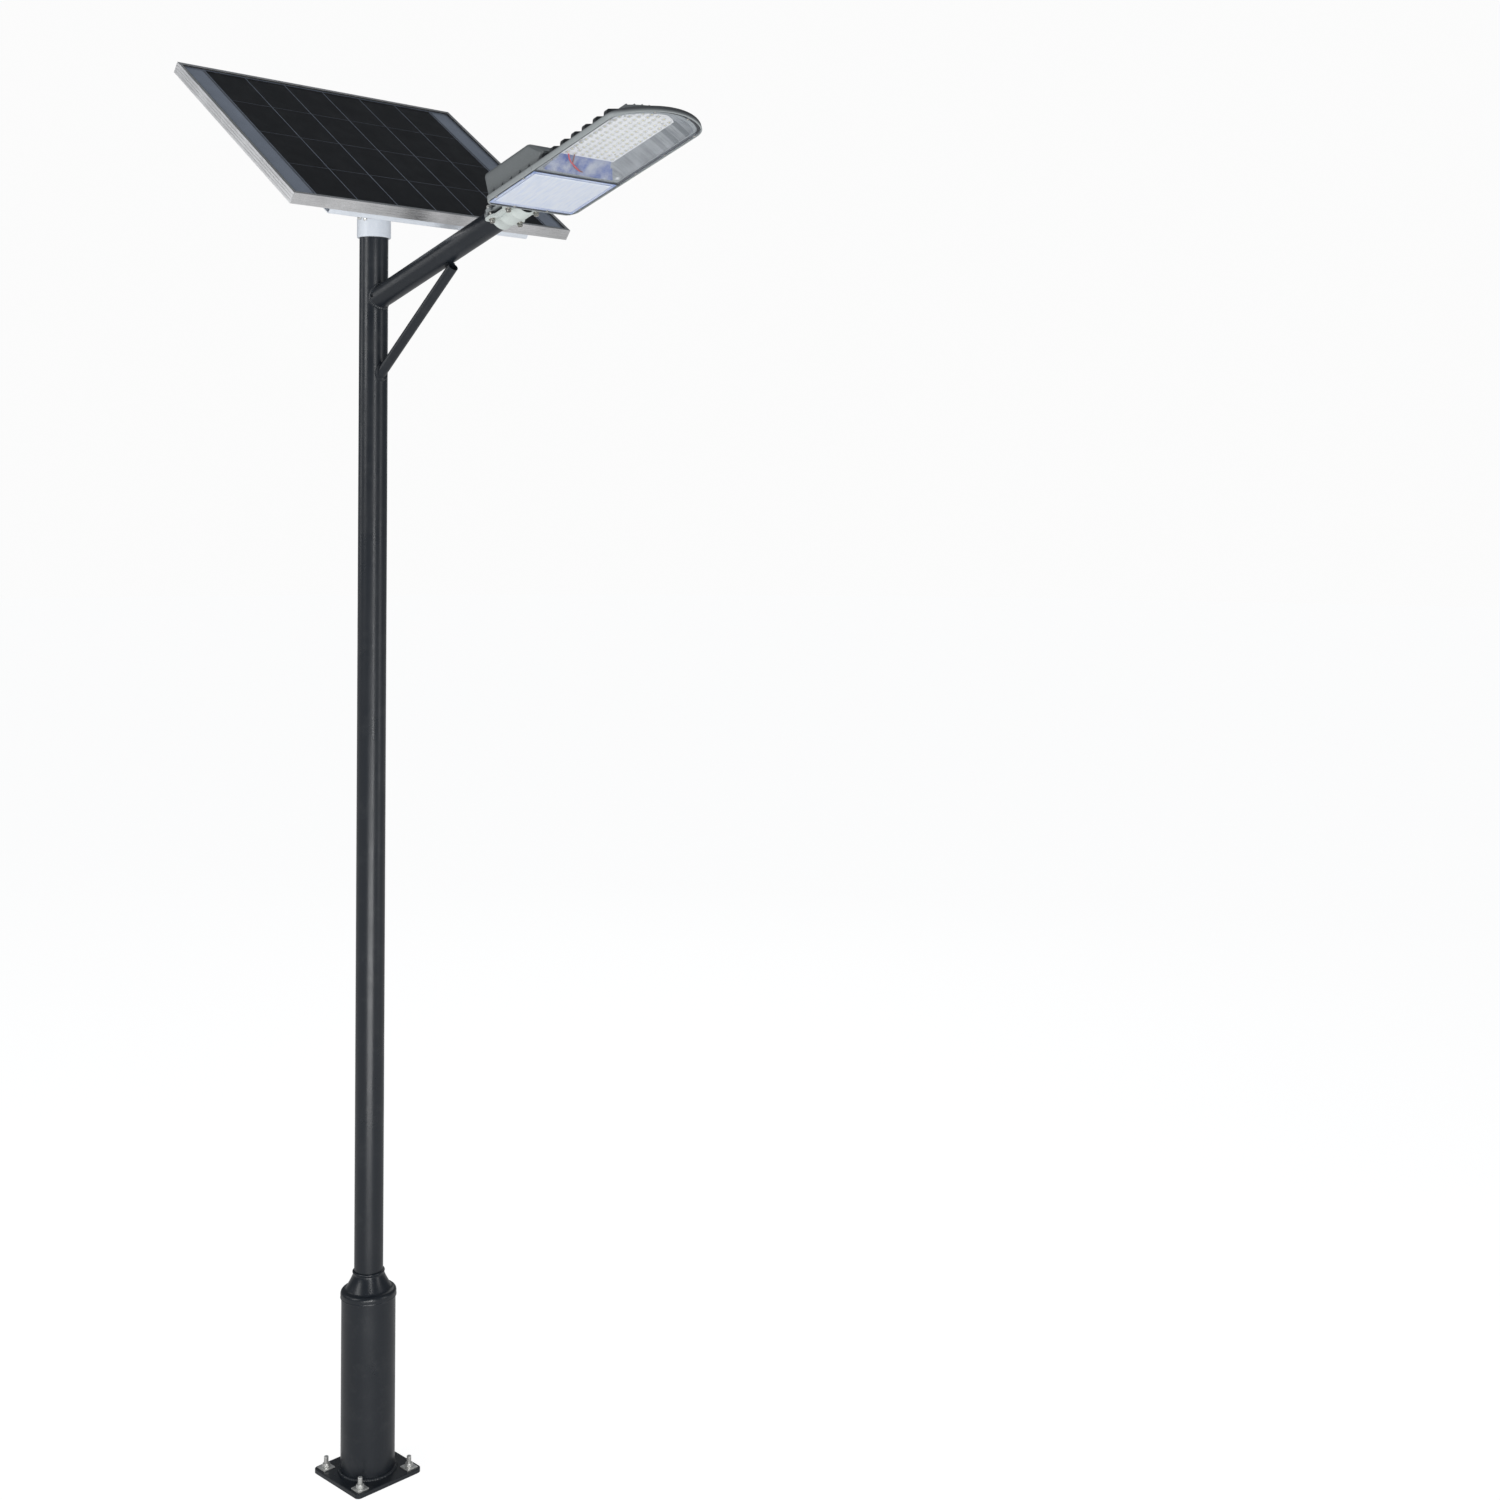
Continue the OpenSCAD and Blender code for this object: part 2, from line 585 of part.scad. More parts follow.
jbox = [80, 100, 22];
jbox_x = panel_cx - panel_w / 2 + 110;
jbox_y = 150;
jbox_top = sheet_top - sheet_t - 0.1;
module junction_box() color([0.06, 0.06, 0.06]) on_panel()
    translate([jbox_x, jbox_y, jbox_top - jbox[2]]) difference() {
        union() {
            translate([-jbox[0] / 2, -jbox[1] / 2, 0]) cube(jbox);
            for (s = [-1, 1]) translate([jbox[0] / 2, s * 25, 10]) rotate([0, 90, 0])
                cylinder(h = 14, d = 12);
        }
        translate([2.5 - jbox[0] / 2, 2.5 - jbox[1] / 2, -eps])
            cube([jbox[0] - 5, jbox[1] - 5, jbox[2] - 2.5 + eps]);
        for (s = [-1, 1]) translate([jbox[0] / 2 - 4, s * 25, 10]) rotate([0, 90, 0]) cylinder(h = 20, d = 6);
    }
module junction_lid() color([0.08, 0.08, 0.08]) on_panel()
    translate([jbox_x - jbox[0] / 2 - 1, jbox_y - jbox[1] / 2 - 1, jbox_top - jbox[2] - 3.05])
        cube([jbox[0] + 2, jbox[1] + 2, 3]);

// ---------------------------------------------------------------- lamp head
module plan(inset, z, h) translate([0, 0, z]) linear_extrude(h) polygon(head_outline(inset));
// A slab of the given half width whose far end follows the tip's arch at a distance from the tip
module arched(from_x, half, tip_gap, z, h) intersection() {
    translate([from_x, -half, z]) cube([head_l, 2 * half, h]);
    union() {
        translate([arch_cx, 0, z]) cylinder(h = h, r = arch_r - tip_gap);
        translate([0, -half, z]) cube([arch_cx, 2 * half, h]);
    }
}

// A hopper with sloping walls on all four sides, grown outwards by g and upwards by up
module hopper(g, up) intersection() {
    rotate([90, 0, 90]) linear_extrude(head_l)
        polygon([[-tray_low_w - g, -eps], [tray_low_w + g, -eps], [tray_low_w + g, seat_z],
            [tray_top_w + g, tray_top_z + up], [-tray_top_w - g, tray_top_z + up],
            [-tray_low_w - g, seat_z]]);
    across(head_w) polygon([[tray_low_x[0] - g, -eps], [tray_low_x[1] + g, -eps],
        [tray_low_x[1] + g, seat_z], [tray_top_x[1] + g, tray_top_z + up],
        [tray_top_x[0] - g, tray_top_z + up], [tray_low_x[0] - g, seat_z]]);
    plan(flange_inset - g, -eps, plate_h + fin_h);
}

// Side profile of the battery and control box, drawn inwards by i
module box_profile(i) polygon(concat([[4 + i, -eps]],
    arc(16, box_h - 12, 12 - i, 180, 90, 5),
    arc(box_l - 14, box_h - 14, 14 - i, 90, 44, 4),
    [[box_l + slope_l - i, plate_h - i], [box_l + slope_l - i, plate_h - 8 - i],
        [tray_low_x[0] - 2 - i, seat_z], [tray_low_x[0] - 2 - i, -eps]]));

module box_solid(i) intersection() {
    across(head_w - 2 * box_side - 2 * i) box_profile(i);
    plan(4 + i, -eps, box_h + 2 * eps);
}

module rim() difference() {
    plan(0, 0, rim_h);
    plan(lip_w, seat_z + floor_t, rim_h);
}

plate_half = tray_top_w + 6;
plate_gap = 47;         // heat sink plate to the tip
module heat_plate() arched(tray_top_x[0] - 10, plate_half, plate_gap, plate_h - 6, 6);

// Hollow ribs between the side pockets
module side_ribs() for (k = [0:pocket_count], s = [-1, 1]) intersection() {
    translate([pocket_start + k * pocket_pitch, s * (plate_half + 20), seat_z]) rib_block();
    plan(lip_w + 1, 0, plate_h);
}
rib_h = plate_h - seat_z - 3;
module rib_block() difference() {
    translate([-rib_t / 2, -24, 0]) cube([rib_t, 48, rib_h]);
    translate([shell - rib_t / 2, -24 - eps, -eps])
        cube([rib_t - 2 * shell, 48 + 2 * eps, rib_h - shell + eps]);
}

module fins() intersection() {
    arched(tray_top_x[0] - 10, plate_half, plate_gap + 4, plate_h - 1, fin_h + 1);
    for (k = [0:fin_count - 1])
        translate([0, (k - (fin_count - 1) / 2) * 20 - fin_t / 2, plate_h - 1])
            cube([head_l, fin_t, fin_h + 1]);
}

module gussets() for (k = [0:4], s = [-1, 1]) translate([35 + 34 * k, 0, rim_h])
    mirror([0, s > 0 ? 0 : 1, 0]) rotate([90, 0, 90]) translate([0, 0, -1.2]) linear_extrude(2.4)
        polygon([[head_w / 2 - box_side - 1, -1], [head_w / 2 - 3, -1], [head_w / 2 - box_side - 1, 14]]);

// Upper half of the tube clamp, cast on the casing's end wall
module spigot() translate([0, 0, head_drop]) difference() {
    union() {
        along_x(-spigot_l, spigot_l + 12, spigot_r);
        for (x = [-spigot_l + 20, -36]) along_x(x, 24, spigot_r + 2.5);
        translate([-spigot_l + 14, -52, 1.5]) cube([spigot_l - 10, 104, 8.5]);
    }
    translate([-spigot_l - eps, -60, -60]) cube([spigot_l + 12 + 2 * eps, 120, 61.5]);
    along_x(-spigot_l - eps, spigot_l + 8, clamp_bore);
    at_clamp_bolts() cylinder(h = 40, r = clamp_bolt_d / 2 + bolt_play);
    at_clamp_bolts() translate([0, 0, 10]) cylinder(h = 40, d = 19);
}
clamp_mid_x = 4.5 - spigot_l / 2;
module at_clamp_bolts() for (x = [-1, 1], y = [-1, 1])
    translate([clamp_mid_x + x * clamp_bolt_x / 2, y * clamp_bolt_y / 2, 0]) children();

module head_housing() color(cast_grey) on_head() difference() {
    union() {
        rim();
        hopper(shell, shell);
        heat_plate();
        side_ribs();
        fins();
        box_solid(0);
        gussets();
        spigot();
        for (p = board_screw_points) translate([p[0], p[1], plate_h - 2]) hex(11, 9);
        translate([0, -32, head_drop]) cube([10, 64, box_h - head_drop - 6]);
    }
    plan(lens_inset - 0.4, -eps, seat_z + eps);
    hopper(0, 0);
    box_solid(shell);
    translate([0, 0, head_drop]) along_x(-eps, 30, 12);
    translate([tray_low_x[0] - 10, -38, 16]) rotate([0, 90, 0]) cylinder(h = 50, d = 14);
    for (p = screw_points) translate([p[0], p[1], 0]) cylinder(h = rim_h - 2, r = 1.7);
    for (p = board_screw_points) translate([p[0], p[1], tray_top_z - eps]) cylinder(h = 9, r = 1.7);
}

module lens_gasket() color([0.1, 0.1, 0.1]) on_head() difference() {
    plan(lens_inset + 0.6, lens_z + lens_t, gasket_t);
    plan(lens_inset + 8, 0, rim_h);
    for (p = screw_points) translate([p[0], p[1], 0]) cylinder(h = rim_h, r = 2.6);
}

// The clear cover: a flange on the gasket, with a shallow raised pane under the box
module lens_cover() color([0.85, 0.92, 0.98, 0.5]) on_head() difference() {
    union() {
        plan(lens_inset, lens_z, lens_t);
        translate([18, -120, -0.5]) cube([158, 240, lens_z + 1]);
    }
    translate([20, -118, lens_z]) cube([154, 236, lens_t + eps]);
    for (p = screw_points) translate([p[0], p[1], -2]) cylinder(h = 8, r = 1.9);
}

module lens_screws() color(zinc) on_head() for (p = screw_points) translate([p[0], p[1], 0]) {
    translate([0, 0, lens_z - 2]) cylinder(h = 1.95, d1 = 4.6, d2 = 6.4);
    translate([0, 0, lens_z - 0.2]) cylinder(h = 9, r = 1.6);
}

board_half = tray_top_w - 2;
module led_board() color("white") on_head() difference() {
    arched(tray_top_x[0] + 1, board_half, head_l - tray_top_x[1] + 2, board_z, board_t);
    for (p = board_screw_points) translate([p[0], p[1], 0]) cylinder(h = plate_h, r = 1.9);
}

chip_t = 1;
module led_chips() color([0.95, 0.9, 0.45]) on_head() for (p = led_points)
    translate([p[0], p[1], board_z - chip_t / 2 - 0.05]) cube([5, 5, chip_t], center = true);
module led_optics() color([0.9, 0.95, 1]) on_head() for (p = led_points)
    translate([p[0], p[1], board_z - chip_t - 3.6]) cylinder(h = 3.5, d1 = 7, d2 = 12.6);
module board_screws() color(zinc) on_head() for (p = board_screw_points) translate([p[0], p[1], 0]) {
    translate([0, 0, board_z - 2.1]) cylinder(h = 2, d1 = 4.5, d2 = 6.5);
    translate([0, 0, board_z - 0.2]) cylinder(h = 8, r = 1.6);
}

battery = [140, 190, 32];
battery_z = box_h - shell - 14 - battery[2];
controller_z = battery_z + battery[2] + 0.3;
module battery_pack() color([0.1, 0.25, 0.7]) on_head()
    translate([20, 0, battery_z]) intersection() {
        translate([0, -battery[1] / 2, 0]) cube(battery);
        across(battery[1]) translate([battery[0] / 2, battery[2] / 2])
            polygon(round_box(battery[0], battery[2], 9));
    }
module charge_controller() color([0.12, 0.12, 0.13]) on_head()
    translate([32, -80, controller_z]) cube([112, 96, box_h - shell - 0.3 - controller_z]);

// Wires from the board through the hopper's wall to the controller; points chosen by hand
red_route = [[238, -50, 31], [232, -46, 26], [222, -42, 19], [210, -39, 16.5], [196, -38, 16.5],
    [184, -38, 18], [174, -40, 24], [170, -44, 34], [169, -48, 48], [165, -52, 61], [156, -56, 67],
    [145, -60, 68]];
brown_route = [[240, -26, 31], [234, -27, 25], [224, -30, 17], [212, -33, 13.5], [198, -35, 13.5],
    [184, -34, 14], [175, -32, 20], [171, -30, 32], [169, -30, 46], [166, -31, 60], [158, -32, 67],
    [145, -34, 68]];
wire_d = 2.4;

function unit(v) = v / norm(v);
function route_dir(p, i) = unit(p[min(i + 1, len(p) - 1)] - p[max(i - 1, 0)]);
function ring_at(p, i, r) = let(t = route_dir(p, i), a = unit(cross(t, [0.05, 1, 0.02])),
    b = cross(t, a)) [for (k = [0:7]) p[i] + r * (a * cos(45 * k) + b * sin(45 * k))];
module swept(p, d) {
    n = len(p);
    polyhedron([for (i = [0:n - 1]) each ring_at(p, i, d / 2)], concat(
        [[for (k = [0:7]) k], [for (k = [7:-1:0]) (n - 1) * 8 + k]],
        [for (i = [0:n - 2], k = [0:7]) [i * 8 + k, (i + 1) * 8 + k,
            (i + 1) * 8 + (k + 1) % 8, i * 8 + (k + 1) % 8]]));
}
module wire_red() color("red") on_head() swept(red_route, wire_d);
module wire_brown() color("brown") on_head() swept(brown_route, wire_d);

// Lower half of the tube clamp: a saddle with a waisted plate, held off the upper half by a gap
clamp_face = -9;
clamp_plate_t = 8;
saddle_t = 3.8;
module clamp_lower() color(clamp_grey) on_head() translate([0, 0, head_drop]) difference() {
    union() {
        translate([clamp_mid_x - clamp_l / 2, 0, 0]) along_x(0, clamp_l, clamp_bore + saddle_t);
        translate([clamp_mid_x, 0, clamp_face - clamp_plate_t]) clamp_plate();
    }
    translate([clamp_mid_x - 70, -60, clamp_face]) cube([140, 120, 60]);
    along_x(-spigot_l - 20, spigot_l + 40, clamp_bore);
    at_clamp_bolts() translate([0, 0, clamp_face - clamp_plate_t - eps])
        cylinder(h = clamp_plate_t + 2 * eps, r = clamp_bolt_d / 2 + bolt_play);
}
module clamp_plate() difference() {
    translate([-clamp_l / 2, -53, 0]) cube([clamp_l, 106, clamp_plate_t]);
    for (s = [-1, 1]) translate([-15, s * 57 - 7, -eps]) cube([30, 14, clamp_plate_t + 2 * eps]);
}
clamp_seat = clamp_face - clamp_plate_t - 0.1;
module clamp_bolts() color(zinc) on_head() translate([0, 0, head_drop]) at_clamp_bolts() {
    translate([0, 0, clamp_seat - 8]) difference() {
        cylinder(h = 8, d = 13);
        translate([0, 0, -eps]) hex(6, 4.5);
    }
    translate([0, 0, clamp_seat]) cylinder(h = 20.4 - clamp_seat, d = clamp_bolt_d);
}
module clamp_nuts() color(zinc) on_head() translate([0, 0, head_drop + 10.1]) at_clamp_bolts()
    difference() {
        union() {
            cylinder(h = 1.5, d = 16);
            translate([0, 0, 1.5]) hex(13, 6.5);
        }
        translate([0, 0, -eps]) cylinder(h = 12, d = clamp_bolt_d + 0.1);
    }

base_plate();
anchor_studs();
anchor_nuts();
anchor_washers();
foot_weld();
base_sleeve();
centering_ring();
sleeve_collar();
pole();
arm();
arm_weld();
brace();
brace_welds();
panel_socket();
socket_screws();
tilt_yoke();
pivot_bolt();
pivot_nut();
tilt_ears();
lock_bolt();
lock_nut();
carrier_beam();
rail_front();
rail_back();
rail_bolts();
rail_nuts();
frame_front();
frame_back();
frame_left();
frame_right();
panel_glass();
solar_cells();
bus_ribbons();
backsheet();
junction_box();
junction_lid();
head_housing();
lens_gasket();
lens_cover();
lens_screws();
led_board();
led_chips();
led_optics();
board_screws();
battery_pack();
charge_controller();
wire_red();
wire_brown();
clamp_lower();
clamp_bolts();
clamp_nuts();
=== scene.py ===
"""Looks of the solar street lamp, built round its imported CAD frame.

Z is up, X points along the lamp arm, and the origin is under the middle of the base plate.
World positions are in metres. The head and the panel are drawn in millimetres in frames of their own,
which the matrices HEAD and PANEL place in the world.
"""
import json
import math

import bmesh
import bpy
from mathutils import Matrix, Vector


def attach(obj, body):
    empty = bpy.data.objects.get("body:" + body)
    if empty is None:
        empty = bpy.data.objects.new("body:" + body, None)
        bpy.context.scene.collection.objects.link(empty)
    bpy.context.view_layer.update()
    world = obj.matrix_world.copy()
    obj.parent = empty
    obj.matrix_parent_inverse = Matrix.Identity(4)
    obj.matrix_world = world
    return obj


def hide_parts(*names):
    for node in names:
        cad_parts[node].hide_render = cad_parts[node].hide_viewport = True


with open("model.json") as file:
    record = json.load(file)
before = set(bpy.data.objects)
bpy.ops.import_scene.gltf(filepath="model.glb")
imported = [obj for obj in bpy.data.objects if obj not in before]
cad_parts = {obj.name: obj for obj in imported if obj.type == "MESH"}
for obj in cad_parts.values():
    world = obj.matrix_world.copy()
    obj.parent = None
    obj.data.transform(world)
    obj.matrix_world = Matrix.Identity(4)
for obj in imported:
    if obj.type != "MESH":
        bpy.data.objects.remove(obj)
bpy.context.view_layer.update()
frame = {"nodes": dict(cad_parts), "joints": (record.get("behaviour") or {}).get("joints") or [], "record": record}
nodes = frame["nodes"]
joints = {j["name"]: j for j in frame["joints"]}

MM = 0.001
ARM_TILT = math.radians(18)
HEAD_START = 665            # millimetres along the arm from the pole's axis to the head's clamp end
HEAD_DROP = 28              # arm's axis above the head's underside
PANEL_TILT = math.radians(36)
POLE_R = 38
SLEEVE_R = 71
PLATE_T = 12

TO_MM = Matrix.Scale(MM, 4)
ARM = Matrix.Translation(joints["head_roll"]["pos_m"]) @ Matrix.Rotation(-ARM_TILT, 4, "Y") @ TO_MM
HEAD = ARM @ Matrix.Translation((HEAD_START, 0, -HEAD_DROP))
PANEL = Matrix.Translation(joints["panel_tilt"]["pos_m"]) @ Matrix.Rotation(PANEL_TILT, 4, "Y") @ TO_MM


# ---------------- camera, light and floor
CAMERA_AZIMUTH = math.radians(43.7)
CAMERA_PLACE = (4.221, -2.963, 2.602)
CAMERA_LENS = 45.6          # on a 36 mm sensor
CAMERA_SHIFT = -0.169       # the camera is level, and the lamp stands mostly below its height
CAMERA_ROLL = math.radians(0.3)
FLOOR_R = 45


def added(name, data):
    """A new object in the scene."""
    obj = bpy.data.objects.new(name, data)
    bpy.context.scene.collection.objects.link(obj)
    return obj


def make_camera():
    data = bpy.data.cameras.new("camera")
    data.lens = CAMERA_LENS
    data.sensor_width = 36
    data.shift_y = CAMERA_SHIFT
    cam = added("camera", data)
    level = Matrix.Rotation(CAMERA_AZIMUTH, 4, "Z") @ Matrix.Rotation(math.radians(90), 4, "X")
    cam.matrix_world = Matrix.Translation(CAMERA_PLACE) @ level @ Matrix.Rotation(CAMERA_ROLL, 4, "Z")
    bpy.context.scene.camera = cam


def soft_light(name, turn, distance, height, size, watts, aim=(0, 0, 1.9)):
    """A rectangular light; turn is its angle round the lamp from the camera, to the right."""
    a = CAMERA_AZIMUTH + math.radians(turn)
    data = bpy.data.lights.new(name, "AREA")
    data.shape = "RECTANGLE"
    data.size, data.size_y = size
    data.energy = watts
    light = added(name, data)
    light.location = (math.sin(a) * distance, -math.cos(a) * distance, height)
    light.rotation_euler = (Vector(aim) - light.location).to_track_quat("-Z", "Y").to_euler()


def make_studio():
    """A world that is white paper to the camera and a dim room to the lamp, with six soft lights."""
    world = bpy.data.worlds.new("studio")
    world.use_nodes = True
    tree = world.node_tree
    tree.nodes.clear()
    room = node(tree, "Background", {"Color": (0.86, 0.93, 1, 1), "Strength": 0.16})
    paper = node(tree, "Background", {"Color": (1, 1, 1, 1), "Strength": 0.97})
    seen = node(tree, "LightPath").outputs["Is Camera Ray"]
    mix = node(tree, "MixShader", {0: seen, 1: room.outputs[0], 2: paper.outputs[0]})
    node(tree, "OutputWorld", {0: mix.outputs[0]})
    bpy.context.scene.world = world
    soft_light("key", -52, 5.5, 4.6, (1.6, 3.4), 95)
    soft_light("strip_right", 24, 5.0, 2.4, (0.5, 4.6), 60)
    soft_light("side_left", -96, 4.5, 3.4, (1.2, 2.2), 13, aim=(0, 0, 3.3))
    soft_light("fill_right", 78, 6.0, 2.2, (1.6, 3.6), 34)
    soft_light("under", 12, 3.6, 0.5, (2.4, 1.2), 62, aim=(0.8, 0, 3.2))
    soft_light("back", 170, 6.0, 4.2, (3.0, 3.0), 25)
    bpy.context.scene.view_settings.view_transform = "Standard"


def make_floor():
    """A pale floor that glows more to the camera than to the lamp's undersides."""
    bm = bmesh.new()
    bmesh.ops.create_circle(bm, cap_ends=True, segments=96, radius=FLOOR_R)
    mesh = bpy.data.meshes.new("floor")
    bm.to_mesh(mesh)
    bm.free()
    paint = plain("floor_paint", (0.22, 0.22, 0.22), 0.9)
    tree = paint.node_tree
    seen = node(tree, "LightPath").outputs["Is Camera Ray"]
    glow = node(tree, "MapRange", {"Value": seen, "To Min": 0.42, "To Max": 0.93}).outputs[0]
    feed(tree.nodes["Principled BSDF"], {"Emission Color": (1, 1, 1, 1), "Emission Strength": glow})
    mesh.materials.append(paint)
    added("floor", mesh)


# ---------------- material building blocks
CAST_GRAIN = 1100
CAST_DEPTH = 0.00016        # metres


def shader(name):
    """A new node material, with its tree and its Principled shader."""
    mat = bpy.data.materials.new(name)
    mat.use_nodes = True
    return mat, mat.node_tree, mat.node_tree.nodes["Principled BSDF"]


def feed(target, inputs):
    """Links or sets a node's inputs, by name or number."""
    for key, value in inputs.items():
        if isinstance(value, bpy.types.NodeSocket):
            target.id_data.links.new(value, target.inputs[key])
        else:
            target.inputs[key].default_value = value


def node(tree, kind, inputs=None, **settings):
    n = tree.nodes.new("ShaderNode" + kind)
    for key, value in settings.items():
        setattr(n, key, value)
    feed(n, inputs or {})
    return n


def maths(tree, operation, *values):
    return node(tree, "Math", dict(enumerate(values)), operation=operation).outputs[0]


def coords(tree, stretch=(1, 1, 1), turn=0.0):
    """Object coordinates, turned round Y and stretched; a piece sits at the origin, so these are metres."""
    place = node(tree, "TexCoord").outputs["Object"]
    return node(tree, "Mapping", {"Vector": place, "Rotation": (0, turn, 0),
                                  "Scale": tuple(1 / s for s in stretch)}, vector_type="TEXTURE").outputs[0]


def noise(tree, vector, scale, detail=4, rough=0.55):
    n = node(tree, "TexNoise", {"Vector": vector, "Scale": scale, "Detail": detail, "Roughness": rough})
    return n.outputs["Fac"]


def ramp(tree, value, *stops):
    """stops are (position, grey or colour)."""
    n = node(tree, "ValToRGB", {"Fac": value})
    elements = n.color_ramp.elements
    while len(elements) < len(stops):
        elements.new(0.5)
    for element, (position, tone) in zip(elements, stops):
        element.position = position
        element.color = (*tone, 1) if isinstance(tone, tuple) else (tone, tone, tone, 1)
    return n.outputs["Color"]


def mixed(tree, fac, a, b, how="MIX"):
    """Colour a, turned to b by fac."""
    a, b = ((*c, 1) if isinstance(c, tuple) else c for c in (a, b))
    return node(tree, "Mix", {0: fac, 6: a, 7: b}, data_type="RGBA", blend_type=how).outputs[2]


def bumped(tree, bsdf, height, strength, distance):
    bump = node(tree, "Bump", {"Height": height, "Strength": strength, "Distance": distance})
    feed(bsdf, {"Normal": bump.outputs[0]})


def tinted(colour, times):
    return tuple(min(1, c * times) for c in colour)


def plain(name, colour, rough):
    mat, tree, bsdf = shader(name)
    tone = mixed(tree, noise(tree, coords(tree), 3), colour, tinted(colour, 0.985))
    feed(bsdf, {"Base Color": tone, "Roughness": rough})
    return mat


def painted(name, colour, rough, grain=900, depth=0.00012, dust=0.0):
    """Sprayed or powder-coated metal: fine orange peel, slow changes of tone and a little dust."""
    mat, tree, bsdf = shader(name)
    place = coords(tree)
    cloud = ramp(tree, noise(tree, place, 2.5, 5), (0.3, 0), (0.7, 1))
    tone = mixed(tree, cloud, tinted(colour, 0.88), tinted(colour, 1.12))
    fleck = ramp(tree, noise(tree, place, grain * 0.6, 2), (0.45, 0), (0.75, 0.35))
    tone = mixed(tree, fleck, tone, tinted(colour, 1.5))
    if dust:
        worn = ramp(tree, noise(tree, place, 18, 8, 0.7), (0.52, 0), (0.8, dust))
        tone = mixed(tree, worn, tone, (0.42, 0.42, 0.4))
    spread = ramp(tree, noise(tree, place, 14, 6), (0.3, rough - 0.05), (0.7, rough + 0.07))
    feed(bsdf, {"Base Color": tone, "Roughness": spread})
    bumped(tree, bsdf, noise(tree, place, grain, 3), 0.35, depth)
    return mat


def cast(name, top, side, span, signed=False):
    """Painted casting with painted shade by facing: top is the tone for faces that look up or down (signed: only
    up), side for the others; the darker of the two stands for shade.
    """
    mat = painted(name, top, 0.5, grain=CAST_GRAIN, depth=CAST_DEPTH)
    tree = mat.node_tree
    bsdf = tree.nodes["Principled BSDF"]
    level = node(tree, "SeparateXYZ", {"Vector": node(tree, "NewGeometry").outputs["Normal"]}).outputs["Z"]
    if not signed:
        level = maths(tree, "ABSOLUTE", level)
    ratio = tuple(b / a for a, b in zip(top, side))
    # Painted shade: the tone follows which way a face looks, not the paint.
    shade = mixed(tree, ramp(tree, level, (span[0], 0), (span[1], 1)), ratio, (1, 1, 1))
    tone = bsdf.inputs["Base Color"].links[0].from_socket
    feed(bsdf, {"Base Color": mixed(tree, 1.0, tone, shade, "MULTIPLY")})
    return mat


def blend_look(name, one, other, scale):
    """A glossy surface that wanders between two tones."""
    mat, tree, bsdf = shader(name)
    cloud = ramp(tree, noise(tree, coords(tree), scale, 5, 0.6), (0.38, 0), (0.68, 1))
    gloss = ramp(tree, noise(tree, coords(tree), 40, 4), (0.3, 0.25), (0.7, 0.4))
    feed(bsdf, {"Base Color": mixed(tree, cloud, one, other), "Roughness": gloss})
    return mat


def tray_look(name):
    """The tray's bright metal: streaks up the walls and, near the tip, painted shade in a dark patch behind every
    rib.
    """
    mat, tree, bsdf = shader(name)
    along = node(tree, "SeparateXYZ", {"Vector": coords(tree, turn=-ARM_TILT)}).outputs["X"]
    wave = maths(tree, "SINE", maths(tree, "MULTIPLY", along, math.tau / (RIB_PITCH * MM)))
    rib_shade = ramp(tree, wave, (0.15, 0), (0.45, 1))
    streak = noise(tree, coords(tree, (150, 8, 8), -ARM_TILT), 1, 4, 0.6)
    cloud = ramp(tree, noise(tree, coords(tree), 11, 5, 0.6), (0.3, 0), (0.7, 1))
    tone = mixed(tree, cloud, (0.13, 0.145, 0.15), (0.5, 0.52, 0.54))
    tone = mixed(tree, ramp(tree, streak, (0.35, 0), (0.7, 0.6)), tone, (0.62, 0.64, 0.66))
    near_tip = node(tree, "MapRange", {"Value": along, "From Min": 1.92, "From Max": 2.08,
                                       "To Min": 0.08, "To Max": 0.75}).outputs[0]
    # Painted shade: a dark patch behind every rib, faint towards the clamp end and strongest towards the tip.
    tone = mixed(tree, maths(tree, "MULTIPLY", rib_shade, near_tip), tone, (0.14, 0.155, 0.16))
    gloss = ramp(tree, streak, (0.3, 0.3), (0.7, 0.5))
    feed(bsdf, {"Base Color": tone, "Roughness": gloss, "Metallic": 0.5})
    bumped(tree, bsdf, streak, 0.3, 0.0002)
    return mat


def bare_metal(name, colour, rough, brushing=(40, 1400, 1400), stain=0.25, turn=0.0, metal=1.0):
    """Zinc, stainless steel or aluminium with fine lines along one axis and faint stains."""
    mat, tree, bsdf = shader(name)
    lines = noise(tree, coords(tree, brushing, turn), 1, 3)
    cloud = ramp(tree, noise(tree, coords(tree), 9, 6, 0.6), (0.35, 1), (0.7, 0))
    tone = mixed(tree, cloud, colour, tinted(colour, 1 - stain))
    tone = mixed(tree, ramp(tree, lines, (0.35, 0), (0.65, 0.3)), tone, tinted(colour, 1.15))
    gloss = ramp(tree, lines, (0.3, rough - 0.07), (0.7, rough + 0.1))
    feed(bsdf, {"Base Color": tone, "Roughness": gloss, "Metallic": metal})
    bumped(tree, bsdf, lines, 0.3, 0.00008)
    return mat


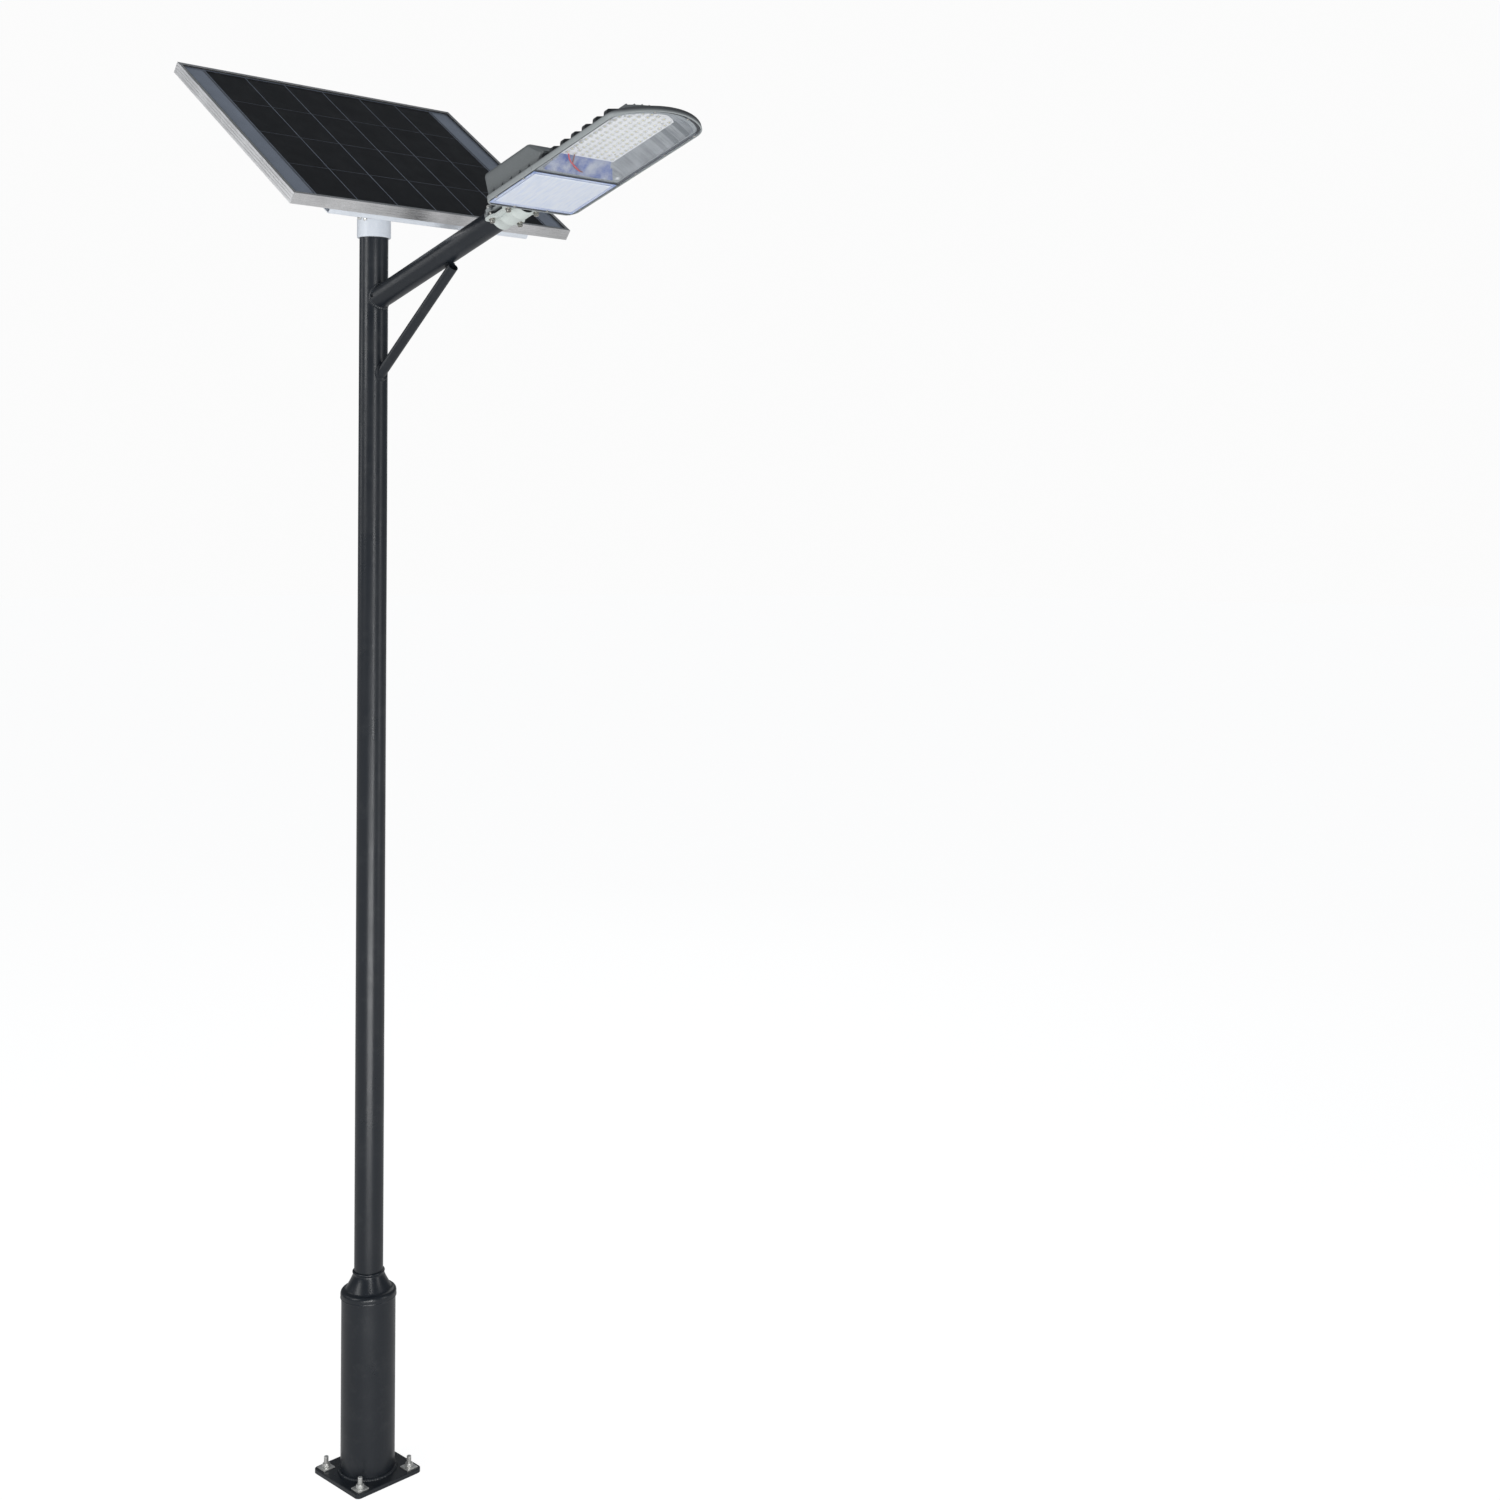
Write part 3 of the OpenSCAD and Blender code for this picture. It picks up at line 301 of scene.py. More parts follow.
def clear_plastic(name, colour, rough, see_through, edge, streaks=None):
    """Clear plastic or glass: mostly seen through straight on, and as solid as edge at a slant."""
    mat, tree, bsdf = shader(name)
    feed(bsdf, {"Base Color": (*colour, 1), "Roughness": rough, "IOR": 1.5})
    if streaks:
        run = ramp(tree, noise(tree, coords(tree, (20, 150, 60)), 1, 4, 0.6), (0.42, 0), (0.7, 1))
        feed(bsdf, {"Base Color": mixed(tree, run, colour, streaks)})
    slant = maths(tree, "POWER", node(tree, "LayerWeight", {"Blend": 0.5}).outputs["Facing"], 9.0)
    smear = noise(tree, coords(tree), 22, 6, 0.65)
    base = ramp(tree, smear, (0.3, 1 - see_through), (0.8, min(1, 1 - see_through + 0.05)))
    feed(bsdf, {"Alpha": mixed(tree, slant, base, (edge, edge, edge))})
    bumped(tree, bsdf, smear, 0.1, 0.0001)
    return mat


# ---------------- mesh building blocks
def arc(cx, cy, r, a0, a1, n):
    turns = [math.radians(a0 + (a1 - a0) * i / n) for i in range(n + 1)]
    return [(cx + r * math.cos(a), cy + r * math.sin(a)) for a in turns]


def round_rect(x0, x1, half, r, n=5):
    """Outline of a rectangle with round corners, from x0 to x1 and half to each side of the X axis."""
    return (arc(x0 + r, r - half, r, 180, 270, n) + arc(x1 - r, r - half, r, 270, 360, n)
            + arc(x1 - r, half - r, r, 0, 90, n) + arc(x0 + r, half - r, r, 90, 180, n))


def rect(x0, x1, y0, y1):
    return [(x0, y0), (x1, y0), (x1, y1), (x0, y1)]


def corners(dx, dy, x=0):
    """The four points that stand dx and dy to each side of (x, 0)."""
    return [(x + sx * dx, sy * dy) for sx in (-1, 1) for sy in (-1, 1)]


def bend(cx, cz, rx, rz, *degrees):
    """Points round a bend in a (radius, height) profile."""
    return [(cx + rx * math.cos(a), cz + rz * math.sin(a)) for a in map(math.radians, degrees)]


def ring(bm, points):
    return [bm.verts.new(p) for p in points]


def flat_ring(bm, outline, z):
    return ring(bm, [(p[0], p[1], z) for p in outline])


def circle(bm, radius, z, at, segments):
    """A full circle, whose last point stands one step before its first."""
    return flat_ring(bm, arc(at[0], at[1], radius, 0, 360 - 360 / segments, segments - 1), z)


def bridge(bm, a, b, closed=True):
    count = len(a) if closed else len(a) - 1
    return [bm.faces.new((a[i], a[(i + 1) % len(a)], b[(i + 1) % len(a)], b[i])) for i in range(count)]


def loft(bm, rings, start_cap=True, end_cap=True):
    faces = [f for a, b in zip(rings, rings[1:]) for f in bridge(bm, a, b)]
    if start_cap:
        faces.append(bm.faces.new(rings[0][::-1]))
    if end_cap:
        faces.append(bm.faces.new(rings[-1]))
    return faces


def hoop(bm, rings):
    """A loft whose last ring meets its first."""
    loft(bm, rings, start_cap=False, end_cap=False)
    bridge(bm, rings[-1], rings[0])


def lathe(bm, profile, segments=48, at=(0, 0)):
    """A closed solid turned about Z from a profile of (radius, height) points."""
    loft(bm, [circle(bm, r, h, at, segments) for r, h in profile])


def prism(bm, outline, z0, z1, bevel=0.0, segments=2):
    """A closed plate with bevelled edges."""
    lo, hi = flat_ring(bm, outline, z0), flat_ring(bm, outline, z1)
    loft(bm, [lo, hi])
    if bevel:
        bmesh.ops.recalc_face_normals(bm, faces=list({f for v in lo + hi for f in v.link_faces}))
        edges = {e for v in lo + hi for e in v.link_edges if e.calc_face_angle(0) > math.radians(40)}
        bmesh.ops.bevel(bm, geom=list(edges), offset=bevel, segments=segments, affect="EDGES",
                        clamp_overlap=True)


def placed(bm, build, matrix):
    """Runs build(bm) and then moves what it added by the matrix."""
    known = set(bm.verts)
    build(bm)
    bmesh.ops.transform(bm, matrix=matrix, verts=[v for v in bm.verts if v not in known])


def put(name, bm, look, body, place=TO_MM, stands_for=(), smooth=38):
    """Makes a piece of the object from a mesh that was drawn in millimetres."""
    bmesh.ops.recalc_face_normals(bm, faces=bm.faces)
    mesh = bpy.data.meshes.new(name)
    bm.to_mesh(mesh)
    bm.free()
    mesh.transform(place)
    for material in look if isinstance(look, (list, tuple)) else [look]:
        mesh.materials.append(material)
    mesh.shade_smooth()
    mesh.set_sharp_from_angle(angle=math.radians(smooth))
    obj = added(name, mesh)
    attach(obj, body)
    if stands_for:
        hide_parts(*stands_for)


# ---------------- lamp head, in millimetres
HEAD_HALF = 140
HEAD_L = 540
ARCH_R = 198
TIP_R = 50
TAIL_R = 28
RIM_H = 14
LEDGE_Z = 5.5               # flange that the gasket and the lens bear on
FLOOR_Z = 8.8               # outside floor between the rim's lip and the tray
BOX_H = 77
BOX_L = 183
BOX_HALF = 128
SLOPE_END = 223
PLATE_Z = 38
PLATE_HALF = 90.7
PLATE_TIP = 493
PLATE_ARCH_R = 230
RIB_PITCH = 39
RIBS = [216.5 + RIB_PITCH * k for k in range(7)]
RIB_HALF = 6
DRAFT = 0.7                 # half the width over which a rib's side falls
PART_X = 188                # where the casing's tip half meets the frame round its battery opening
TRAY_TOP_Z = 34.2
FIN_H = 6
FIN_PITCH = 19.8
SCREW_INSET = 9
BOARD_Z = 32.5
LENS_Z = 1.5
LENS_T = 2.5

# Stations along the straight sides, with what stands there
STATIONS = [(c + side, kind) for c in RIBS for side, kind in (
    (-RIB_HALF - DRAFT, "pocket"), (DRAFT - RIB_HALF, "rib"), (RIB_HALF - DRAFT, "rib"),
    (RIB_HALF + DRAFT, "pocket")) if c + side > PART_X + 8]


def arched(x0, tip_x, half, arch_r, tip_r, tail_r):
    """Outline with an arched tip, [(x, y, kind)] from the tail's corner, with the same count each time."""
    cx, cy = tip_x - arch_r, half - tip_r
    tx = cx + math.sqrt((arch_r - tip_r) ** 2 - cy * cy)
    tilt = math.degrees(math.atan2(cy, tx - cx))
    first = x0 + tail_r
    last = len(STATIONS)
    side = [(min(max(x, first + 0.02 * i), tx - 0.02 * (last - i)), -half, kind)
            for i, (x, kind) in enumerate(STATIONS)]
    right = ([(x, y, "tail") for x, y in arc(first, tail_r - half, tail_r, 180, 270, 8)] + side
             + [(x, y, "tip") for x, y in arc(tx, -cy, tip_r, -90, -tilt, 8)]
             + [(x, y, "tip") for x, y in arc(cx, 0, arch_r, -tilt, 0, 12)[1:]])
    return right + [(x, -y, kind) for x, y, kind in right[-2::-1]]


def rim_loop(inset, x0=None):
    """The head's plan outline drawn inwards; with x0 it starts there, square-cornered."""
    tail = (inset, TAIL_R - inset) if x0 is None else (x0, 1)
    return arched(tail[0], HEAD_L - inset, HEAD_HALF - inset, ARCH_R - inset, TIP_R - inset, tail[1])


def tray_loop(t, grow=0.0):
    """Outline of the lamp tray, from its mouth at t = 0 to the board at t = 1."""
    mouth, top = (194, 516, 123, 188, 42, 26), (233, 483, 84, 230, 10, 6)
    x0, tip_x, half, arch_r, tip_r, tail_r = (a + (b - a) * t for a, b in zip(mouth, top))
    return arched(x0 - grow, tip_x + grow, half + grow, arch_r + grow, tip_r + grow, tail_r + grow)


# Rim's cross-section from the lens recess, round the outside, to the lip's inner edge: (inset, z)
RIM = [(3.7, LEDGE_Z), (3.7, 0.5), (3.2, 0), (1.2, 0), (0.3, 0.4), (0, 1.3),
       (0, 12.2), (0.5, 13.4), (1.7, RIM_H), (5.2, RIM_H), (6.5, 13.5), (7, 12.4)]
FLOOR_INSET = 7.6
OPENING_INSET = 16


def shell_height(kind, s):
    """Height of the casing between its plate, s = 0, and the rim's inner side, s = 1."""
    if kind == "rib":
        drop = max(0, (s - 0.78) / 0.22)
        return 13.4 + (PLATE_Z - 14.4 - 7 * s) * math.sqrt(max(0, 1 - drop * drop))
    if kind == "pocket":
        return FLOOR_Z + (PLATE_Z - 6 - FLOOR_Z) * (1 - s) ** 1.22
    return FLOOR_Z + (PLATE_Z - 0.8 - FLOOR_Z) * (1 - s)


def head_shell():
    """The casing's tip half: rim, slope, ribs, pockets and fin plate outside, lamp tray inside."""
    bm = bmesh.new()
    rings = [flat_ring(bm, rim_loop(inset, PART_X), z) for inset, z in RIM]
    rim = rim_loop(FLOOR_INSET, PART_X)
    plate = arched(SLOPE_END - 4, PLATE_TIP, PLATE_HALF, PLATE_ARCH_R, 10, 1)
    for s in (1, 0.985, 0.96, 0.93, 0.9, 0.86, 0.82, 0.78, 0.7, 0.6, 0.5, 0.4, 0.3, 0.2, 0.12, 0.05, 0.02, 0):
        rings.append(ring(bm, [(b[0] + (a[0] - b[0]) * s, b[1] + (a[1] - b[1]) * s, shell_height(a[2], s))
                               for a, b in zip(rim, plate)]))
    crown = arched(SLOPE_END - 3, PLATE_TIP - 0.8, PLATE_HALF - 0.8, PLATE_ARCH_R, 9.5, 1)
    rings.append(flat_ring(bm, crown, PLATE_Z))
    around = len(rings[0])
    # The slope, ribs and pockets take the casing paint, whose darkened sides are painted shade.
    for face in loft(bm, rings, start_cap=False)[(len(RIM) - 1) * around:]:
        face.material_index = 2
    steps = ((0, 0), (0.03, 0.09), (0.1, 0.19), (0.3, 0.38), (0.6, 0.66), (0.85, 0.9), (0.96, 0.985), (1, 1))
    walls = [flat_ring(bm, tray_loop(t), LEDGE_Z + (TRAY_TOP_Z - LEDGE_Z) * rise) for t, rise in steps]
    bridge(bm, rings[0], walls[0])
    for face in loft(bm, walls, start_cap=False):
        mid = face.calc_center_median()
        # The tray's end wall by the battery box takes the painted reflection of the blue battery; the rest takes
        # the bright metal.
        face.material_index = 3 if mid.x < 233 and abs(mid.y) < 112 - (mid.x - 194) else 1
    put("head_shell", bm, [head_paint_and_shade, tray_metal, casing_paint_and_shade, tray_painted_battery_reflection], "head", HEAD,
        ("head_housing",), smooth=35)


def rim_path(inset):
    """Points along the rim round the clamp end, from one side of the casing to the other."""
    corner = arc(TAIL_R, TAIL_R - HEAD_HALF, TAIL_R - inset, 270, 180, 8)
    half_path = [(PART_X + 0.1, inset - HEAD_HALF)] + corner
    return half_path + [(x, -y) for x, y in half_path[::-1]]


def head_tail_frame():
    """The rim and lens flange round the battery opening."""
    bm = bmesh.new()
    section = RIM + [(FLOOR_INSET, FLOOR_Z), (OPENING_INSET, FLOOR_Z), (OPENING_INSET, LEDGE_Z)]
    paths = [rim_path(inset) for inset, z in section]
    heights = [z for inset, z in section]
    loft(bm, [ring(bm, [(*point, z) for point, z in zip(points, heights)]) for points in zip(*paths)])
    put("head_tail_rim", bm, head_paint_and_shade, "head", HEAD, smooth=35)


def box_end(z):
    """Where the battery box's sloping front stands at height z."""
    rise = max(0, (z - PLATE_Z) / (BOX_H - PLATE_Z))
    return BOX_L + (SLOPE_END - BOX_L) * (1 - rise) ** 1.35


def head_box():
    """The hollow battery and control box, open towards the lens."""
    bm = bmesh.new()
    wall, edge_r, corner_r = 2.4, 12, 12.6

    def level(z, inset, skin):
        behind_tray = 190 + 36 * max(0, (z - 7) / 28)
        front = min(box_end(z) - skin, 188 if skin else behind_tray) - inset
        outline = round_rect(4 + skin + inset, front, BOX_HALF - skin - inset, corner_r - inset)
        return flat_ring(bm, outline, z - skin)

    turns = [math.radians(15 * k) for k in range(1, 7)]
    rounding = [(edge_r * (1 - math.cos(a)), edge_r * math.sin(a)) for a in turns]
    skins = []
    for skin in (0, wall):
        skins.append([level(z, 0, skin) for z in (6 + skin, 20, 30, 38, 41, 45, 50, 55, 60, BOX_H - edge_r)]
                     + [level(BOX_H - edge_r + up, inset, skin) for inset, up in rounding])
    loft(bm, skins[0], start_cap=False)
    loft(bm, skins[1], start_cap=False)
    bridge(bm, skins[0][0], skins[1][0])
    put("head_box", bm, box_paint_and_shade, "head", HEAD, smooth=50)


def head_trim():
    """Fins, fin bosses, screw bosses, side gussets and the cable boss, all cast on the casing."""
    bm = bmesh.new()
    low, high, back = PLATE_Z - 1, PLATE_Z + FIN_H, SLOPE_END - 8
    for k in range(-4, 5):
        y = FIN_PITCH * k
        tip = PLATE_TIP - 5 - PLATE_ARCH_R + math.sqrt(PLATE_ARCH_R ** 2 - y * y)
        side = [(back, low), (tip, low), (tip - 3, high), (back, high)]
        lo, hi = (ring(bm, [(x, y + s * (1.7 if z < PLATE_Z else 1.1), z) for x, z in side]) for s in (-1, 1))
        loft(bm, [lo, hi])
    for x in (271, 439):
        for y in (-58.5, 58.5):
            lathe(bm, [(6.6, low), (6.4, PLATE_Z + 6.5), (5.6, PLATE_Z + 7.4), (3.2, PLATE_Z + 7.4),
                       (3.0, PLATE_Z + 5)], 6, (x, y))
    for x, y in screw_points():
        lathe(bm, [(4.4, FLOOR_Z - 2), (4.2, RIM_H + 0.6), (3.4, RIM_H + 1.5), (1.9, RIM_H + 1.5),
                   (1.7, RIM_H - 2)], 20, (x, y))
    gusset = [(BOX_HALF - 1, RIM_H - 4), (HEAD_HALF - 3, RIM_H - 4), (HEAD_HALF - 3.5, RIM_H + 0.5),
              (BOX_HALF - 1, 29)]
    for k in range(5):
        for s in (-1, 1):
            x = 35 + 34 * k
            loft(bm, [ring(bm, [(x + dx, s * y, z) for y, z in gusset]) for dx in (-1.3, 1.3)])
    boss = ([(-1.5, -34), (14, -34)] + arc(16, -22, 12, 270, 360, 5) + arc(16, 22, 12, 0, 90, 5)
            + [(14, 34), (-1.5, 34)])
    prism(bm, boss, 26, BOX_H - 0.8, 3.0, 3)
    put("head_trim", bm, box_paint_and_shade, "head", HEAD, smooth=40)


def screw_points():
    """Lens screws: five down each side and two across each end."""
    end_y = 51
    sides = [(41 + 105 * k, s * (HEAD_HALF - SCREW_INSET)) for k in range(5) for s in (-1, 1)]
    tip = HEAD_L - ARCH_R + math.sqrt((ARCH_R - SCREW_INSET) ** 2 - end_y ** 2)
    return sides + [(x, s * end_y) for x in (SCREW_INSET, tip) for s in (-1, 1)]


# ---------------- tube clamp, in the head's frame
SPIGOT_L = 120
BORE_R = 30.2
CLAMP_MID = -55.5
CLAMP_BOLTS = corners(32.5, 43.5, CLAMP_MID)


def half_ring(bm, stations, bore, low, sign):
    """A half tube along X through (x, outer radius) stations; its two faces stand low off the axis."""
    rings = []
    for x, r in stations:
        a, b = math.degrees(math.asin(low / r)), math.degrees(math.asin(low / bore))
        outline = arc(0, 0, r, a, 180 - a, 24) + arc(0, 0, bore, 180 - b, b, 24)
        rings.append(ring(bm, [(x, y, HEAD_DROP + sign * z) for y, z in outline]))
    loft(bm, rings)


def head_spigot():
    bm = bmesh.new()
    body, band, lip = 37.2, 40.5, 38.8
    seat = HEAD_DROP + 1.5
    stations = [(-SPIGOT_L, lip - 1.2), (-SPIGOT_L + 1.2, lip), (-104, lip), (-103, body), (-99.2, body),
                (-98, band), (-75, band), (-73.8, body), (-37, body), (-35.8, band), (-12.8, band),
                (-11.6, body), (4, body)]
    half_ring(bm, stations, BORE_R, 1.5, 1)
    for x0, x1 in ((-99, -73), (-36.5, -10.5)):
        mid = (x0 + x1) / 2
        for s in (-1, 1):
            pad = [(mid + px, s * py) for px, py in
                   ((-13, 34), (13, 34), (13, 45), (9, 53), (-9, 53), (-13, 45))]
            prism(bm, pad, seat, HEAD_DROP + 10, 1.5)
    for s in (-1, 1):
        prism(bm, rect(-104, -2, s * 36, s * 46), seat, HEAD_DROP + 7, 0.8)
    neck = [(-12, -44), (5, -52), (5, 52), (-12, 44)]
    prism(bm, neck, seat, HEAD_DROP + 12, 2)
    put("head_spigot", bm, head_paint_and_shade, "head", HEAD)


def clamp_lower():
    bm = bmesh.new()
    saddle = 34
    ridge = [(-20, saddle), (-19, saddle + 0.7), (-17, saddle), (17, saddle), (19, saddle + 0.7),
             (20, saddle)]
    stations = [(-50, saddle - 1.5), (-48.5, saddle)] + ridge + [(48.5, saddle), (50, saddle - 1.5)]
    half_ring(bm, [(CLAMP_MID + x, r) for x, r in stations], BORE_R, 9.1, -1)
    flange = [(-50, 31), (50, 31), (50, 49), (46, 53.5), (23, 53.5), (15, 46), (-15, 46), (-23, 53.5),
              (-46, 53.5), (-50, 49)]
    for s in (-1, 1):
        prism(bm, [(CLAMP_MID + x, s * y) for x, y in flange], HEAD_DROP - 17, HEAD_DROP - 9, 1.4)
        root = rect(CLAMP_MID - 49, CLAMP_MID + 49, s * 27, s * 34)
        prism(bm, root, HEAD_DROP - 20, HEAD_DROP - 12, 2)
    put("clamp_lower_half", bm, clamp_paint, "head", HEAD, ("clamp_lower",))


def socket_bolt(bm, x, y):
    """A socket-head bolt under the clamp, head downwards, on a washer."""
    face = HEAD_DROP - 17.1
    top = face - 9.8
    shank = HEAD_DROP + 19
    at = (x, y)
    lathe(bm, [(8, face), (8.2, face - 0.4), (8.2, face - 1.4), (7.9, face - 1.8), (4, face - 1.8)], 32, at)
    lathe(bm, [(4, face - 1.7), (6.2, face - 1.8), (6.5, face - 2.2), (6.5, top + 0.9), (5.9, top + 0.2),
               (5.2, top), (3.6, top), (3.4, top + 0.3), (3.3, top + 4), (0.6, top + 4.6)], 32, at)
    lathe(bm, [(4, face - 1), (4, shank - 1), (3.2, shank)], 24, at)


def clamp_fasteners():
    bm = bmesh.new()
    for x, y in CLAMP_BOLTS:
        socket_bolt(bm, x, y)
    put("clamp_socket_bolts", bm, steel, "head", HEAD, ("clamp_bolts",))


# ---------------- lens and lamps, in the head's frame
def lens_cover():
    """The clear cover: flange with moulded ribs, screw bosses, and ribs round the tray's mouth."""
    bm = bmesh.new()
    top = LENS_Z + LENS_T
    edge = ((4.4, top), (4, top - 0.4), (4, LENS_Z + 0.4), (4.4, LENS_Z))
    loft(bm, [flat_ring(bm, rim_loop(inset), z) for inset, z in edge])
    for inset in (12.5, 15.5):
        hoop(bm, [flat_ring(bm, rim_loop(inset + i), z) for i, z in
                  ((0, LENS_Z), (0.3, LENS_Z - 0.9), (1.1, LENS_Z - 0.9), (1.4, LENS_Z))])
    for grow in (1.5, -3):
        hoop(bm, [flat_ring(bm, tray_loop(0, grow - i), z) for i, z in
                  ((0, LENS_Z), (0.3, LENS_Z - 0.8), (1.4, LENS_Z - 0.8), (1.7, LENS_Z))])
    for x, y in screw_points():
        lathe(bm, [(6.6, LENS_Z + 0.1), (6.5, LENS_Z - 0.8), (5.8, LENS_Z - 1.1), (2.4, LENS_Z - 1.1),
                   (2.2, LENS_Z + 0.1)], 28, (x, y))
    for y in (-104, 0, 104):
        button = [(4.6, LENS_Z), (4.5, LENS_Z - 0.5), (3.7, LENS_Z - 0.5), (3.5, LENS_Z - 0.1)]
        lathe(bm, button, 28, (187, y))
    put("lens_moulding", bm, LOOKS["lens_clear"], "head", HEAD, ("lens_cover",))


PANE = (19, 176, 120)       # textured pane: near and far end along the head, and half width
PANE_PITCH = 2.6


def lens_pane():
    """The pane under the battery box: a slab whose face is a fine diamond pattern."""
    bm = bmesh.new()
    x0, x1, half = PANE
    columns, rows = round((x1 - x0 - 6) / PANE_PITCH), round((2 * half - 6) / PANE_PITCH)
    grid = []
    for i in range(columns + 1):
        x = x0 + 3 + (x1 - x0 - 6) * i / columns
        line = []
        for j in range(rows + 1):
            edge = i in (0, columns) or j in (0, rows)
            lift = 0 if edge or (i + j) % 2 else 0.42
            line.append(bm.verts.new((x, 3 - half + (2 * half - 6) * j / rows, -0.2 - lift)))
        grid.append(line)
    for a, b in zip(grid, grid[1:]):
        bridge(bm, a, b, closed=False)
    border = (grid[0] + [line[-1] for line in grid[1:]] + grid[-1][-2::-1]
              + [line[0] for line in grid[-2:0:-1]])
    skirt = []
    for v in border:
        out_x = (1.6 if v.co.x > 90 else -1.6) * (v in grid[0] or v in grid[-1])
        out_y = math.copysign(1.6, v.co.y) * (abs(v.co.y) > half - 4)
        skirt.append(bm.verts.new((v.co.x + out_x, v.co.y + out_y, LENS_Z + 0.05)))
    bridge(bm, border, skirt)
    bm.faces.new(skirt)
    put("lens_pane", bm, pane_plastic, "head", HEAD, smooth=10)


def bead(bm, x, y, rx, ry):
    rings = []
    for spread, drop in ((1, 0), (0.85, 0.75), (0.45, 1.35)):
        outline = [(x + px * rx * spread, y + py * ry * spread) for px, py in arc(0, 0, 1, 0, 324, 9)]
        rings.append(flat_ring(bm, outline, LENS_Z + 0.1 - drop))
    loft(bm, rings)


def lens_beads():
    """A row of half round beads round the pane, each longer across the pane's edge than along it."""
    bm = bmesh.new()
    x0, x1, half = PANE
    long_r, short_r, off = 3.4, 1.5, 4.2
    across, along = 46, 30
    for i in range(across + 1):
        y = -half + 2 + (2 * half - 4) * i / across
        for x in (x0 - off, x1 + off):
            bead(bm, x, y, long_r, short_r)
    for i in range(along + 1):
        x = x0 + 4 + (x1 - x0 - 8) * i / along
        for s in (-1, 1):
            bead(bm, x, s * (half + off), short_r, long_r)
    put("lens_beads", bm, bead_plastic, "head", HEAD, smooth=60)


def lens_border():
    """The tinted strip under the beads, between the pane and the lens flange."""
    x0, x1, half = PANE
    bm = bmesh.new()
    outer, inner = rect(x0 - 9.5, x1 + 8.5, -half - 9.5, half + 9.5), rect(x0, x1, -half, half)
    low, high = LENS_Z - 0.12, LENS_Z + 0.02
    hoop(bm, [flat_ring(bm, *level) for level in ((outer, high), (outer, low), (inner, low), (inner, high))])
    put("lens_border", bm, border_tint, "head", HEAD)


def led_points():
    """Lamp places in seven columns, the middle ones with more lamps, set closer."""
    counts = (13, 14, 15, 16, 15, 14, 13)
    return [(246 + k * 16.96 * (1 - (n - 13) * 0.044), (c - 3) * 23.3)
            for c, n in enumerate(counts) for k in range(n)]


def lamps():
    """A clear dome over each lamp, the lamp's yellow face, and its white package."""
    domes, faces, packs = bmesh.new(), bmesh.new(), bmesh.new()
    base = BOARD_Z - 0.05
    dome = [(6.0, base), (6.1, base - 0.7), (5.0, base - 1.0)]
    dome += bend(0, base - 1.0, 4.8, -3.5, 15, 35, 55, 75) + [(0.2, base - 4.5)]
    for x, y in led_points():
        lathe(domes, dome, 16, (x, y))
        prism(packs, rect(x - 2.6, x + 2.6, y - 2.6, y + 2.6), base - 0.75, base)
        outline = [(px, py + y) for px, py in round_rect(x - 1.9, x + 1.9, 1.9, 0.5, 2)]
        prism(faces, outline, base - 0.95, base - 0.7)
    put("led_domes", domes, LOOKS["led_optic"], "head", HEAD, ("led_optics",), smooth=60)
    put("led_faces", faces, LOOKS["led_phosphor"], "head", HEAD, ("led_chips",))
    put("led_packages", packs, LOOKS["board_white"], "head", HEAD)


def tube(bm, points, radius, segments=12):
    """A round wire along a smooth curve through the points."""
    path, fine, rings = [Vector(p) for p in points], [], []
    for i in range(len(path) - 1):
        before, after = path[max(i - 1, 0)], path[min(i + 2, len(path) - 1)]
        a, b = path[i], path[i + 1]
        for k in range(6):
            t = k / 6
            fine.append(0.5 * (2 * a + (b - before) * t + (2 * before - 5 * a + 4 * b - after) * t * t
                               + (3 * a - before - 3 * b + after) * t ** 3))
    fine.append(path[-1])
    for i, at in enumerate(fine):
        along = (fine[min(i + 1, len(fine) - 1)] - fine[max(i - 1, 0)]).normalized()
        side = along.cross(Vector((0.1, 1, 0.3))).normalized()
        up = along.cross(side)
        rings.append(ring(bm, [at + radius * (side * math.cos(a) + up * math.sin(a))
                               for a in (math.tau * k / segments for k in range(segments))]))
    loft(bm, rings)


def wires():
    """The lamp board's two leads, hanging across the tray's wall from the box to the board."""
    red = [(240, -62, 31), (234, -58, 24), (226, -46, 17), (216, -26, 13), (206, -8, 11.5), (197, 6, 14),
           (190, 12, 20)]
    brown = [(240, -44, 31), (233, -42, 25), (222, -38, 18), (212, -24, 12.5), (203, -2, 12), (196, 16, 14.5),
             (190, 22, 20)]
    for name, points in (("wire_red", red), ("wire_brown", brown)):
        bm = bmesh.new()
        tube(bm, points, 1.7)
        put(name + "_lead", bm, LOOKS[name], "head", HEAD, (name,))


def lens_screw_heads():
    bm = bmesh.new()
    face = LENS_Z - 1.15
    for x, y in screw_points():
        lathe(bm, [(3.3, face + 0.6), (3.4, face + 0.2), (3.1, face - 0.5), (2.3, face - 1.0),
                   (1.1, face - 1.15), (0.9, face - 0.5)], 24, (x, y))
        lathe(bm, [(1.6, face), (1.6, LENS_Z + 8), (1.0, LENS_Z + 9)], 12, (x, y))
    put("lens_screw_heads", bm, steel, "head", HEAD, ("lens_screws",))


def make_head():
    head_shell()
    head_tail_frame()
    head_box()
    head_trim()
    head_spigot()
    clamp_lower()
    clamp_fasteners()
    lens_cover()
    lens_pane()
    lens_beads()
    lamps()
    wires()
    lens_border()
    lens_screw_heads()


# ---------------- fasteners, welds and tubes
HEX_SEGMENTS = 48
HEX_FLAT = 0.478            # chamfer circle's radius for each millimetre across the flats
HEX_CORNER = 0.6            # circle that stands clear of the corners


